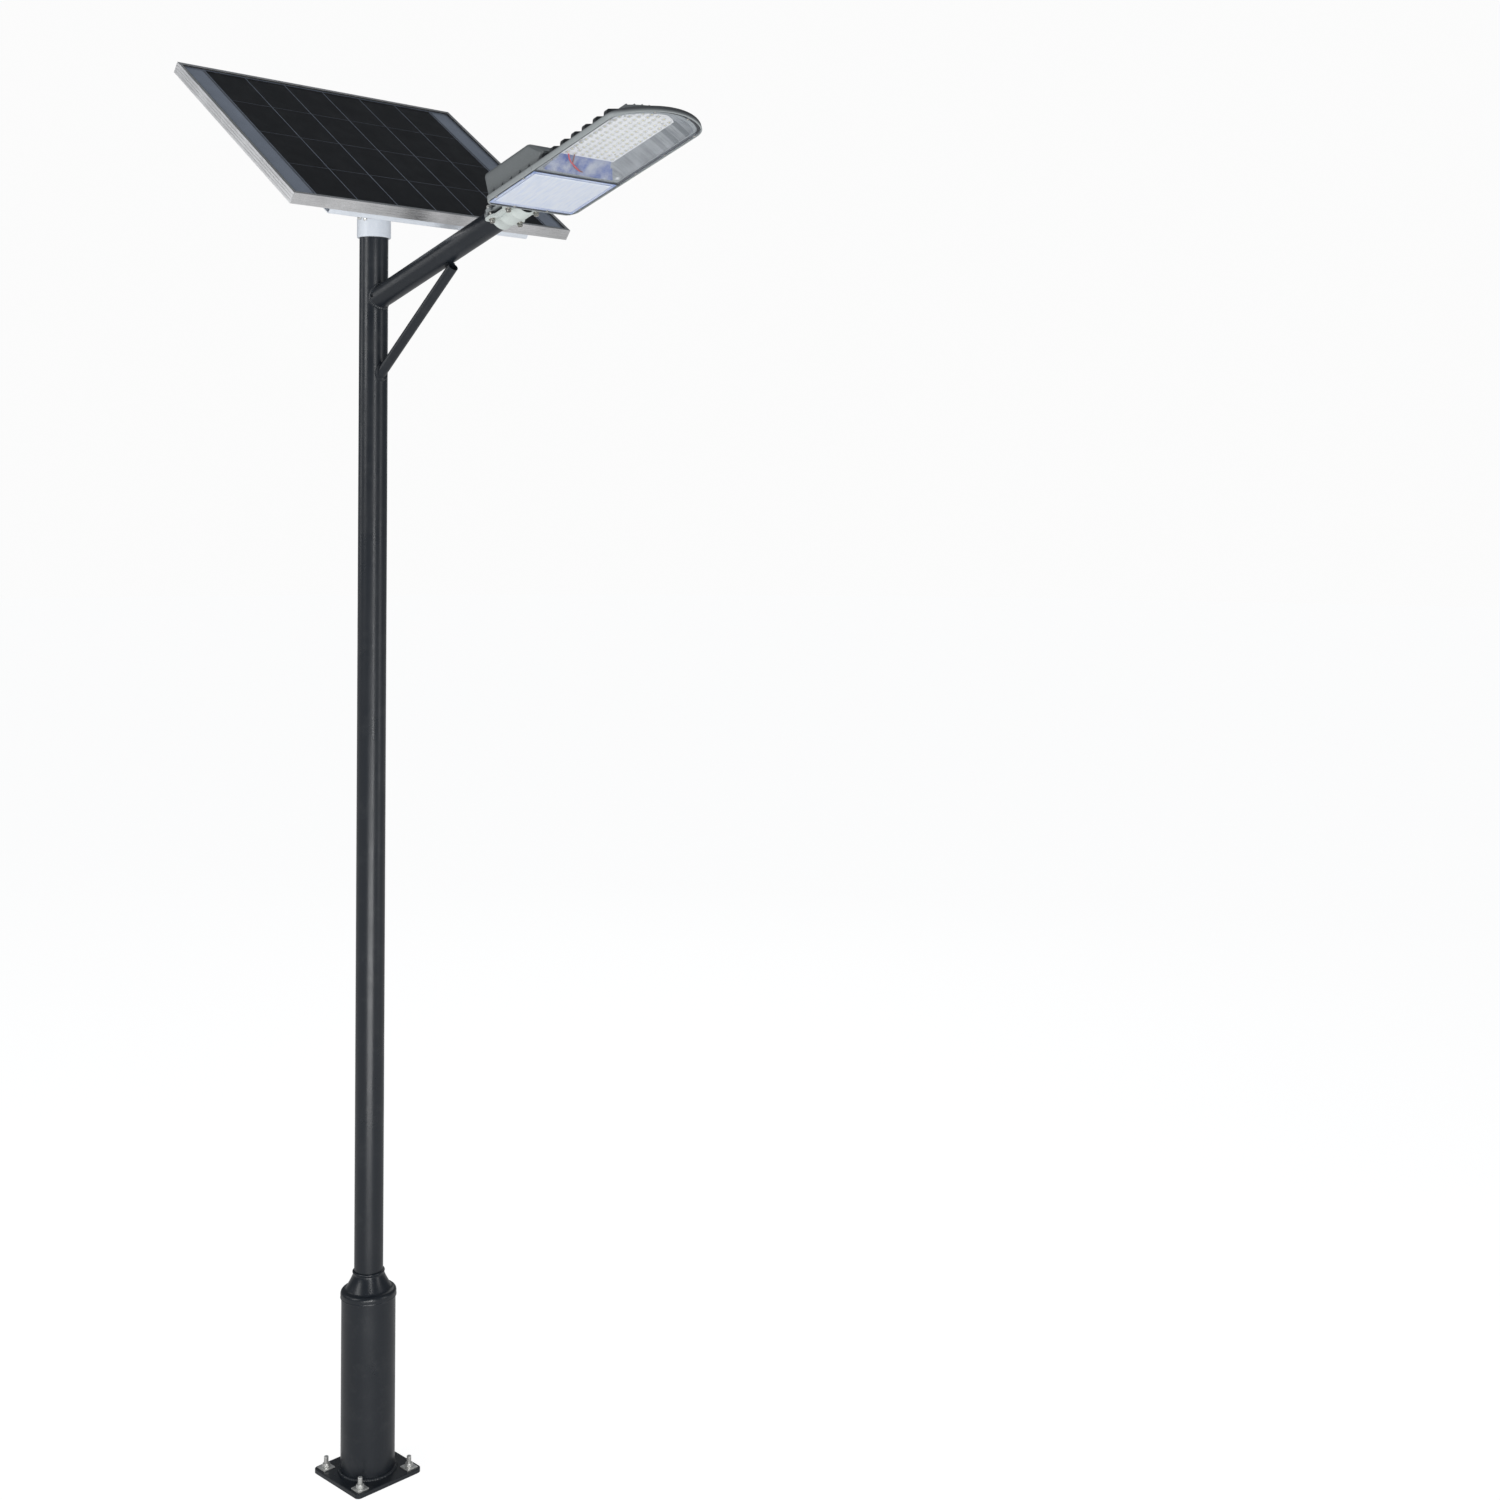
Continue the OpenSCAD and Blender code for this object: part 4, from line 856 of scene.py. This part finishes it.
def hex_ring(bm, across, cap, z, at):
    """A hexagon cut back to a circle of radius cap."""
    half, out = across / 2, []
    for i in range(HEX_SEGMENTS):
        a = math.tau * i / HEX_SEGMENTS
        r = min(cap, half / math.cos((a % math.radians(60)) - math.radians(30)))
        out.append((at[0] + r * math.cos(a), at[1] + r * math.sin(a)))
    return flat_ring(bm, out, z)


def nut(bm, across, z0, z1, bore, at=(0, 0), both=True):
    """A hexagon nut with chamfered corners; with both False its lower face is left square."""
    flat, corner, cut = across * HEX_FLAT, across * HEX_CORNER, across * 0.07
    steps = [(flat, z0), (corner, z0 + cut)] if both else [(corner, z0)]
    steps += [(corner, z1 - cut), (flat, z1)]
    hole = ((bore, z0), (bore, z1 - 0.7), (bore + 0.7, z1))
    inner = [circle(bm, r, z, at, HEX_SEGMENTS) for r, z in hole]
    hoop(bm, [inner[0]] + [hex_ring(bm, across, cap, z, at) for cap, z in steps] + inner[:0:-1])


def bolt_head(bm, across, z0, z1, at=(0, 0)):
    """A hexagon head with a chamfered top and a shallow dish in it."""
    flat, corner, cut = across * HEX_FLAT, across * HEX_CORNER, across * 0.08
    rings = [hex_ring(bm, across, cap, z, at) for cap, z in ((corner, z0), (corner, z1 - cut), (flat, z1))]
    rings += [circle(bm, r, z, at, HEX_SEGMENTS) for r, z in ((flat * 0.7, z1), (flat * 0.6, z1 - 0.4))]
    loft(bm, rings)


def thread(bm, radius, z0, z1, pitch, at=(0, 0), segments=32):
    """A threaded end with a chamfered tip."""
    deep, profile, z = pitch * 0.55, [], z0
    while z + pitch < z1 - deep:
        profile += [(radius, z), (radius, z + pitch * 0.2), (radius - deep, z + pitch * 0.55),
                    (radius - deep, z + pitch * 0.7)]
        z += pitch
    profile += [(radius - 0.1, z), (radius - 0.1, z1 - deep), (radius - deep - 0.2, z1)]
    lathe(bm, profile, segments, at)


def bead_run(name, places, size, look, body, stands_for, pitch=5.0):
    """A weld bead along a closed seam; places are (root, one leg's direction, other leg's direction)."""
    bm = bmesh.new()
    bow = 0.78
    rings, run, last = [], 0.0, None
    for root, a, b in places:
        run += (root - last).length if last is not None else 0
        last = root
        phase = run / pitch
        swell = size * (0.86 + 0.14 * abs(math.sin(math.pi * phase)) + 0.05 * math.sin(phase * 1.7)
                        + 0.04 * math.sin(phase * 0.6))
        section = []
        for k in range(7):
            t = math.radians(15 * k)
            bulge = bow + 0.1 * math.sin(2 * t)
            section.append(root + (a * math.cos(t) ** 1.15 + b * math.sin(t) ** 1.15) * swell * bulge / bow)
        section.append(root - (a + b) * 0.3)
        rings.append(ring(bm, section))
    hoop(bm, rings)
    put(name, bm, look, body, stands_for=stands_for, smooth=80)


def branch_seam(start, tilt, radius, steps=420):
    """Where a tube that leaves the pole's axis at start, tilted upwards, meets the pole."""
    along = Vector((math.cos(tilt), 0, math.sin(tilt)))
    up = Vector((-math.sin(tilt), 0, math.cos(tilt)))
    side = Vector((0, 1, 0))
    places = []
    for i in range(steps):
        a = math.tau * i / steps
        off_tube = up * math.cos(a) + side * math.sin(a)
        y = radius * math.sin(a)
        reach = (math.sqrt(POLE_R ** 2 - y * y) + radius * math.cos(a) * math.sin(tilt)) / math.cos(tilt)
        root = Vector((0, 0, start)) + along * reach + off_tube * radius
        off_pole = Vector((root.x, root.y, 0)).normalized()
        places.append((root, (off_tube - off_pole * off_tube.dot(off_pole)).normalized(),
                       (off_pole - off_tube * off_pole.dot(off_tube)).normalized()))
    return places


def bar(bm, half_l, w, top, h, wall, r, along, at=0.0):
    """A hollow rectangular bar with rounded corners, along X or Y, open at its ends."""

    def level(inset, end):
        outline = round_rect(inset - w / 2, w / 2 - inset, h / 2 - inset, max(r - inset, 0.6), 4)
        section = [(at + x, top - h / 2 + z) for x, z in outline]
        return ring(bm, [(end, x, z) if along == "x" else (x, end, z) for x, z in section])

    hoop(bm, [level(0, -half_l), level(0, half_l), level(wall, half_l), level(wall, -half_l)])


# ---------------- column
PLATE_HALF_SIDE = 102.5
PLATE_CORNER = 14
ANCHOR = 77.5
WASHER = (17, 3)            # half side and thickness
ANCHOR_NUT = (18, 10)       # across the flats and height
STUD = (6, 18)              # radius and how far it stands out of its nut
SLEEVE_TOP = 470
COLLAR_H = 72
ARM_Z = 3115
ARM_R = 30


def column_foot():
    plate = bmesh.new()
    half = PLATE_HALF_SIDE
    prism(plate, round_rect(-half, half, half, PLATE_CORNER, 8), 0, PLATE_T, 1.2, 3)
    put("foot_plate", plate, powder, "post", stands_for=("base_plate",))
    studs, nuts, washers = bmesh.new(), bmesh.new(), bmesh.new()
    seat, top = PLATE_T + WASHER[1], PLATE_T + WASHER[1] + ANCHOR_NUT[1]
    w = WASHER[0]
    for at in corners(ANCHOR, ANCHOR):
        lathe(studs, [(STUD[0] - 0.6, 0.2), (STUD[0] - 0.6, top - 2)], 32, at)
        thread(studs, STUD[0], top - 2, top + STUD[1], 1.75, at)
        nut(nuts, ANCHOR_NUT[0], seat, top, STUD[0] + 0.1, at)
        outline = [(x + at[0], y + at[1]) for x, y in round_rect(-w, w, w, 1.5, 3)]
        prism(washers, outline, PLATE_T, seat, 0.5)
    put("foot_studs", studs, zinc, "post", stands_for=("anchor_studs",), smooth=20)
    put("foot_nuts", nuts, zinc, "post", stands_for=("anchor_nuts",), smooth=20)
    put("foot_washers", washers, zinc, "post", stands_for=("anchor_washers",))
    steps, seam = 460, []
    for i in range(steps):
        a = math.tau * i / steps
        root = Vector((SLEEVE_R * math.cos(a), SLEEVE_R * math.sin(a), PLATE_T))
        seam.append((root, Vector((math.cos(a), math.sin(a), 0)), Vector((0, 0, 1))))
    bead_run("foot_bead", seam, 7, powder, "post", ("foot_weld",), 6.0)


def column_collar():
    """The spun cone between sleeve and pole, with a rolled lip below and a rolled rim above."""
    bm = bmesh.new()
    z, lip, rim = SLEEVE_TOP, SLEEVE_R + 2.7, POLE_R + 4.6
    profile = [(POLE_R + 0.3, z + 3), (SLEEVE_R - 2, z + 3), (lip - 2.2, z + 0.2), (lip - 0.9, z + 0.1)]
    profile += bend(lip - 1.6, z + 1.9, 1.6, 1.8, -60, -20, 20, 60)
    profile += [(lip - 0.6, z + 5), (lip - 0.4, z + 12)]
    profile += bend(lip - 10.4, z + 12, 10, 10, 15, 30, 45, 60, 75)
    low_r, high_r = lip - 12.5, POLE_R + 2.6
    low_z, high_z = z + 22.5, z + COLLAR_H - 9
    steps = 12
    for k in range(steps + 1):
        r = high_r + (low_r - high_r) * (1 - k / steps) ** 1.25
        profile.append((r, low_z + (high_z - low_z) * k / steps))
    profile += bend(rim - 3.4, z + COLLAR_H - 5, 3.4, 3.6, -50, -25, 0, 25, 50, 75, 90)
    profile += [(POLE_R + 0.3, z + COLLAR_H - 1.4)]
    lathe(bm, profile, 96)
    put("collar_spun", bm, powder, "post", stands_for=("sleeve_collar",), smooth=50)


def column_welds():
    seam = branch_seam(ARM_Z, ARM_TILT, ARM_R)
    bead_run("arm_bead", seam, 5.2, powder, "post", ("arm_weld",), 4.5)


# ---------------- panel socket and tilt bracket
SOCKET_R = 44.5
SOCKET_Z = (3284, 3376)
SCREW_Z = 3335


def socket_pieces():
    bm = bmesh.new()
    lo, hi = SOCKET_Z
    lathe(bm, [(POLE_R + 0.5, lo + 80), (POLE_R + 0.5, lo + 0.8), (POLE_R + 1.1, lo), (SOCKET_R - 0.9, lo),
               (SOCKET_R, lo + 1), (SOCKET_R, hi - 6.4), (SOCKET_R - 0.35, hi - 6), (SOCKET_R, hi - 5.6),
               (SOCKET_R, hi - 1.2), (SOCKET_R - 1.2, hi)], 96)
    put("socket_shell", bm, white_coat, "socket", stands_for=("panel_socket",), smooth=30)
    screws = bmesh.new()

    def screw(bm):
        nut(bm, 13, SOCKET_R - 0.2, SOCKET_R + 5, 2.6, both=False)
        lathe(bm, [(3.6, SOCKET_R - 3), (3.6, SOCKET_R + 3.2), (1.4, SOCKET_R + 3.3)], 24)

    for s in (-1, 1):
        turn = Matrix.Rotation(math.radians(-90 * s), 4, "X")
        placed(screws, screw, Matrix.Translation((0, 0, SCREW_Z)) @ turn)
    put("socket_set_screws", screws, zinc, "socket", stands_for=("socket_screws",), smooth=25)


def cross_bolt(name, across, radius, height, face, at, body, stands_for):
    """A bolt through the bracket along Y: head, shank and washers, with its nut as a second piece."""
    head_bm, nut_bm = bmesh.new(), bmesh.new()
    bolt_head(head_bm, across, face, face + 7)
    lathe(head_bm, [(radius * 0.9, face + 1), (radius * 0.9, -face)], 32)
    thread(head_bm, radius, -face - height - 4, -face + 2, 1.5)
    lathe(head_bm, [(radius, face - 1.5), (radius * 2, face - 1.5), (radius * 2, face - 0.2),
                    (radius * 2 - 0.2, face), (radius, face)], 40)
    nut(nut_bm, across, -face - height, -face, radius)
    lathe(nut_bm, rect(radius, radius * 2, -face, -face + 1.5), 40)
    turn = Matrix.Rotation(math.radians(90), 4, "X")
    for bm, label, node_name in ((head_bm, "bolt", stands_for[0]), (nut_bm, "nut", stands_for[1])):
        bmesh.ops.transform(bm, matrix=turn, verts=bm.verts)
        put(f"{name}_{label}_cut", bm, zinc, body, at, (node_name,), smooth=25)


def bracket_bolts():
    face = 34.5
    pivot = Matrix.Translation(joints["panel_tilt"]["pos_m"]) @ TO_MM
    cross_bolt("pivot", 18.6, 6, 10, face, pivot, "socket", ("pivot_bolt", "pivot_nut"))
    lock = PANEL @ Matrix.Translation((0, 0, -30))
    cross_bolt("lock", 12.4, 4, 7, face, lock, "panel", ("lock_bolt", "lock_nut"))


# ---------------- solar panel, in the panel's frame
PANEL_X = -44
PANEL_W = 675
PANEL_L = 870
RAIL_TOP = 63.5
CELL_TOP = 88.1
CELLS = (4, 6)
CELL_PITCH = (163, 120)
CELL_GAP = 3
CONTACTS = 9                # fine lines across one cell
SHEET_TOP = 87.6
RAIL_X = 305.5
RAIL_BOLT = (319, 200)


def cells():
    """Four by six black cells with fine contact lines across them, and grey strips between their rows."""
    bm, lines, strips = bmesh.new(), bmesh.new(), bmesh.new()
    half_x, half_y = (CELL_PITCH[0] - CELL_GAP) / 2, (CELL_PITCH[1] - CELL_GAP) / 2
    mid_x, mid_y, mid_line = (CELLS[0] - 1) / 2, (CELLS[1] - 1) / 2, (CONTACTS - 1) / 2
    for i in range(CELLS[0]):
        for k in range(CELLS[1]):
            x, y = PANEL_X + (i - mid_x) * CELL_PITCH[0], (k - mid_y) * CELL_PITCH[1]
            prism(bm, rect(x - half_x, x + half_x, y - half_y, y + half_y), CELL_TOP - 0.4, CELL_TOP - 0.05)
            for n in range(CONTACTS):
                at = y + (n - mid_line) * 2 * half_y / 9.6
                outline = rect(x - half_x + 3, x + half_x - 3, at - 0.25, at + 0.25)
                prism(lines, outline, CELL_TOP - 0.06, CELL_TOP)
    put("cell_wafers", bm, LOOKS["cell"], "panel", PANEL, ("solar_cells",))
    put("cell_contacts", lines, contact, "panel", PANEL)
    for i in range(CELLS[0] - 1):
        x = PANEL_X + (i - mid_x + 0.5) * CELL_PITCH[0]
        prism(strips, rect(x - 1.6, x + 1.6, -359, 359), SHEET_TOP, SHEET_TOP + 0.05)
    put("cell_row_strips", strips, row_strip, "panel", PANEL)


def bus_lines():
    bm = bmesh.new()
    half = 2 * CELL_PITCH[0] - 5
    for s in (-1, 1):
        for off in (2.8, 6.2):
            y = s * (3 * CELL_PITCH[1] + off)
            outline = rect(PANEL_X - half, PANEL_X + half, y - 0.9, y + 0.9)
            prism(bm, outline, CELL_TOP - 0.4, CELL_TOP - 0.05)
    put("bus_lines", bm, LOOKS["ribbon"], "panel", PANEL, ("bus_ribbons",))


def back_sheet():
    """The laminate's rear sheet, grey-blue towards the glass and white behind, and the seal at the frame."""
    bm = bmesh.new()
    x, y = PANEL_W / 2 - 4, PANEL_L / 2 - 4
    prism(bm, rect(PANEL_X - x, PANEL_X + x, -y, y), SHEET_TOP - 0.5, SHEET_TOP)
    bmesh.ops.recalc_face_normals(bm, faces=bm.faces)
    for face in bm.faces:
        face.material_index = 1 if face.normal.z > 0.5 else 0
    put("rear_sheet", bm, [sheet_white, LOOKS["backsheet"]], "panel", PANEL, ("backsheet",))
    seal = bmesh.new()
    low, high = 91.3, 91.9
    rings = []
    for inset, z in ((9, low), (9, high), (12, high), (12, low)):
        x, y = PANEL_W / 2 - inset, PANEL_L / 2 - inset
        rings.append(flat_ring(seal, rect(PANEL_X - x, PANEL_X + x, -y, y), z))
    hoop(seal, rings)
    put("frame_seal", seal, LOOKS["gasket"], "panel", PANEL)


def rails():
    """Two rails under the frame, the carrier beam between them, and the rails' bolts and nuts."""
    for s, rail in ((1, "rail_front"), (-1, "rail_back")):
        bm = bmesh.new()
        bar(bm, 312.5, 40, RAIL_TOP, 20, 2.5, 4, "y", PANEL_X + s * RAIL_X)
        put(rail + "_tube", bm, white_coat, "panel", PANEL, (rail,), smooth=40)
    beam = bmesh.new()
    bar(beam, RAIL_X - 20, 60, RAIL_TOP, 32, 3, 5, "x")
    bmesh.ops.translate(beam, vec=(PANEL_X, 0, 0), verts=beam.verts)
    put("carrier_tube", beam, white_coat, "panel", PANEL, ("carrier_beam",), smooth=40)
    bolts, nuts = bmesh.new(), bmesh.new()
    for at in corners(*RAIL_BOLT, PANEL_X):
        bolt_head(bolts, 10, RAIL_TOP + 2.05, RAIL_TOP + 6, at)
        thread(bolts, 3, RAIL_TOP - 28, RAIL_TOP + 2.1, 1.0, at, 20)
        nut(nuts, 10, RAIL_TOP - 25.1, RAIL_TOP - 20.1, 3, at)
    put("rail_bolts_cut", bolts, zinc, "panel", PANEL, ("rail_bolts",), smooth=25)
    put("rail_nuts_cut", nuts, zinc, "panel", PANEL, ("rail_nuts",), smooth=25)


def junction():
    """The junction box behind the panel: a moulded body with two cable glands, and its ribbed lid."""
    x, y, top = -271.5, 150, 87
    body, lid = bmesh.new(), bmesh.new()
    prism(body, [(px + x, py + y) for px, py in round_rect(-40, 40, 50, 5)], top - 22, top, 0.8)

    def gland(bm):
        lathe(bm, [(6, 0), (6, 8), (7.4, 8.6), (7.4, 13), (6.4, 14), (3, 14), (3, 6)], 24)

    turn = Matrix.Rotation(math.radians(90), 4, "Y")
    for s in (-1, 1):
        placed(body, gland, Matrix.Translation((x + 39.5, y + s * 25, top - 12)) @ turn)
    put("junction_body", body, LOOKS["junction_black"], "panel", PANEL, ("junction_box",))
    prism(lid, [(px + x, py + y) for px, py in round_rect(-41, 41, 51, 6)], top - 25.05, top - 22.05, 1.0)
    for k in range(-3, 4):
        outline = rect(x - 30, x + 30, y + 11 * k - 1.2, y + 11 * k + 1.2)
        prism(lid, outline, top - 25.9, top - 24.8, 0.3, 1)
    put("junction_cover", lid, LOOKS["junction_black"], "panel", PANEL, ("junction_lid",))


def make_column():
    column_foot()
    column_collar()
    column_welds()


def make_panel():
    socket_pieces()
    bracket_bolts()
    cells()
    bus_lines()
    back_sheet()
    junction()
    rails()


# ---------------- stage and materials
make_camera()
make_studio()
make_floor()

powder = painted("powder_coat", (0.011, 0.0145, 0.02), 0.31, depth=0.00008, dust=0.04)
white_coat = painted("white_coat", (0.74, 0.79, 0.86), 0.38, grain=700)
# Painted shade: the head's casting turns near black on faces that look up and stays grey on its sides.
head_paint_and_shade = cast("head_cast", (0.07, 0.075, 0.08), (0.31, 0.335, 0.34), span=(0.08, 0.32), signed=True)
# Painted shade: the battery box's sides and its trim's sides are darker than the faces that look up or down.
box_paint_and_shade = cast("box_cast_and_shade", (0.33, 0.35, 0.355), (0.17, 0.185, 0.19), span=(0.6, 0.95))
# Painted shade: the sides of the casing's ribs, pockets and slope are darkened almost to black.
casing_paint_and_shade = cast("casing_cast_and_shade", (0.32, 0.34, 0.345), (0.05, 0.055, 0.06), span=(0.6, 0.95))
clamp_paint = painted("clamp_cast", (0.6, 0.65, 0.63), 0.5, grain=CAST_GRAIN, depth=CAST_DEPTH)
zinc = bare_metal("zinc", (0.74, 0.74, 0.72), 0.34, metal=0.6)
steel = bare_metal("steel", (0.5, 0.49, 0.46), 0.26)
frame_metal = bare_metal("frame_aluminium", (0.78, 0.78, 0.79), 0.3, brushing=(1500, 25, 1500), stain=0.3,
                         metal=0.75)
frame_end_metal = bare_metal("frame_end_aluminium", (0.8, 0.8, 0.81), 0.36, brushing=(25, 1500, 1500),
                             stain=0.3, turn=PANEL_TILT, metal=0.8)
LOOKS = {
    "powder_coat": powder, "white_coat": white_coat, "head_cast": head_paint_and_shade, "clamp_cast": clamp_paint,
    "zinc": zinc, "frame_aluminium": frame_metal,
    "panel_glass": clear_plastic("panel_glass", (0.02, 0.022, 0.03), 0.06, 0.96, 0.6),
    "cell": painted("cell", (0.0035, 0.0035, 0.005), 0.45, grain=500),
    "ribbon": bare_metal("ribbon", (0.32, 0.33, 0.36), 0.35),
    "backsheet": painted("backsheet", (0.5, 0.56, 0.68), 0.5),
    "junction_black": painted("junction_black", (0.015, 0.015, 0.016), 0.5),
    "lens_clear": clear_plastic("lens_clear", (0.6, 0.66, 0.75), 0.08, 0.93, 0.8),
    "gasket": painted("gasket", (0.02, 0.02, 0.02), 0.8),
    "board_white": painted("board_white", (0.95, 0.96, 0.98), 0.4),
    "led_phosphor": painted("led_phosphor", (0.7, 0.58, 0.09), 0.5),
    "led_optic": clear_plastic("led_optic", (0.8, 0.83, 0.88), 0.05, 0.86, 0.75),
    "battery_wrap": painted("battery_wrap", (0.03, 0.08, 0.5), 0.3),
    "controller_black": painted("controller_black", (0.02, 0.02, 0.022), 0.4),
    "wire_red": painted("wire_red", (0.7, 0.02, 0.04), 0.4),
    "wire_brown": painted("wire_brown", (0.25, 0.08, 0.05), 0.4),
}
tray_metal = tray_look("tray_metal")
border_tint = blend_look("border_tint", (0.26, 0.36, 0.66), (0.6, 0.68, 0.85), 9)
# Painted reflection: the blue battery wrap, shown on the tray's end wall as a wandering blue tone.
tray_painted_battery_reflection = blend_look("tray_painted_battery_reflection", (0.05, 0.1, 0.38), (0.5, 0.53, 0.6), 22)
sheet_white = painted("sheet_white", (0.75, 0.76, 0.78), 0.5)
row_strip = painted("row_strip", (0.22, 0.24, 0.29), 0.5)
contact = bare_metal("contact", (0.05, 0.05, 0.06), 0.4)
pane_plastic = clear_plastic("pane_plastic", (0.86, 0.91, 1.0), 0.25, 0.15, 0.9, streaks=(0.74, 0.82, 0.99))
bead_plastic = clear_plastic("bead_plastic", (0.9, 0.94, 1), 0.1, 0.4, 1.0)


def finish_nodes():
    """Gives every CAD node that still shows its slot's material."""
    for part in frame["record"]["subparts"]:
        mesh = nodes[part["node"]].data
        mesh.materials.clear()
        turned = part["node"] in ("frame_left", "frame_right")
        mesh.materials.append(frame_end_metal if turned else LOOKS[part["material_slot"]])


finish_nodes()
make_column()
make_panel()
make_head()
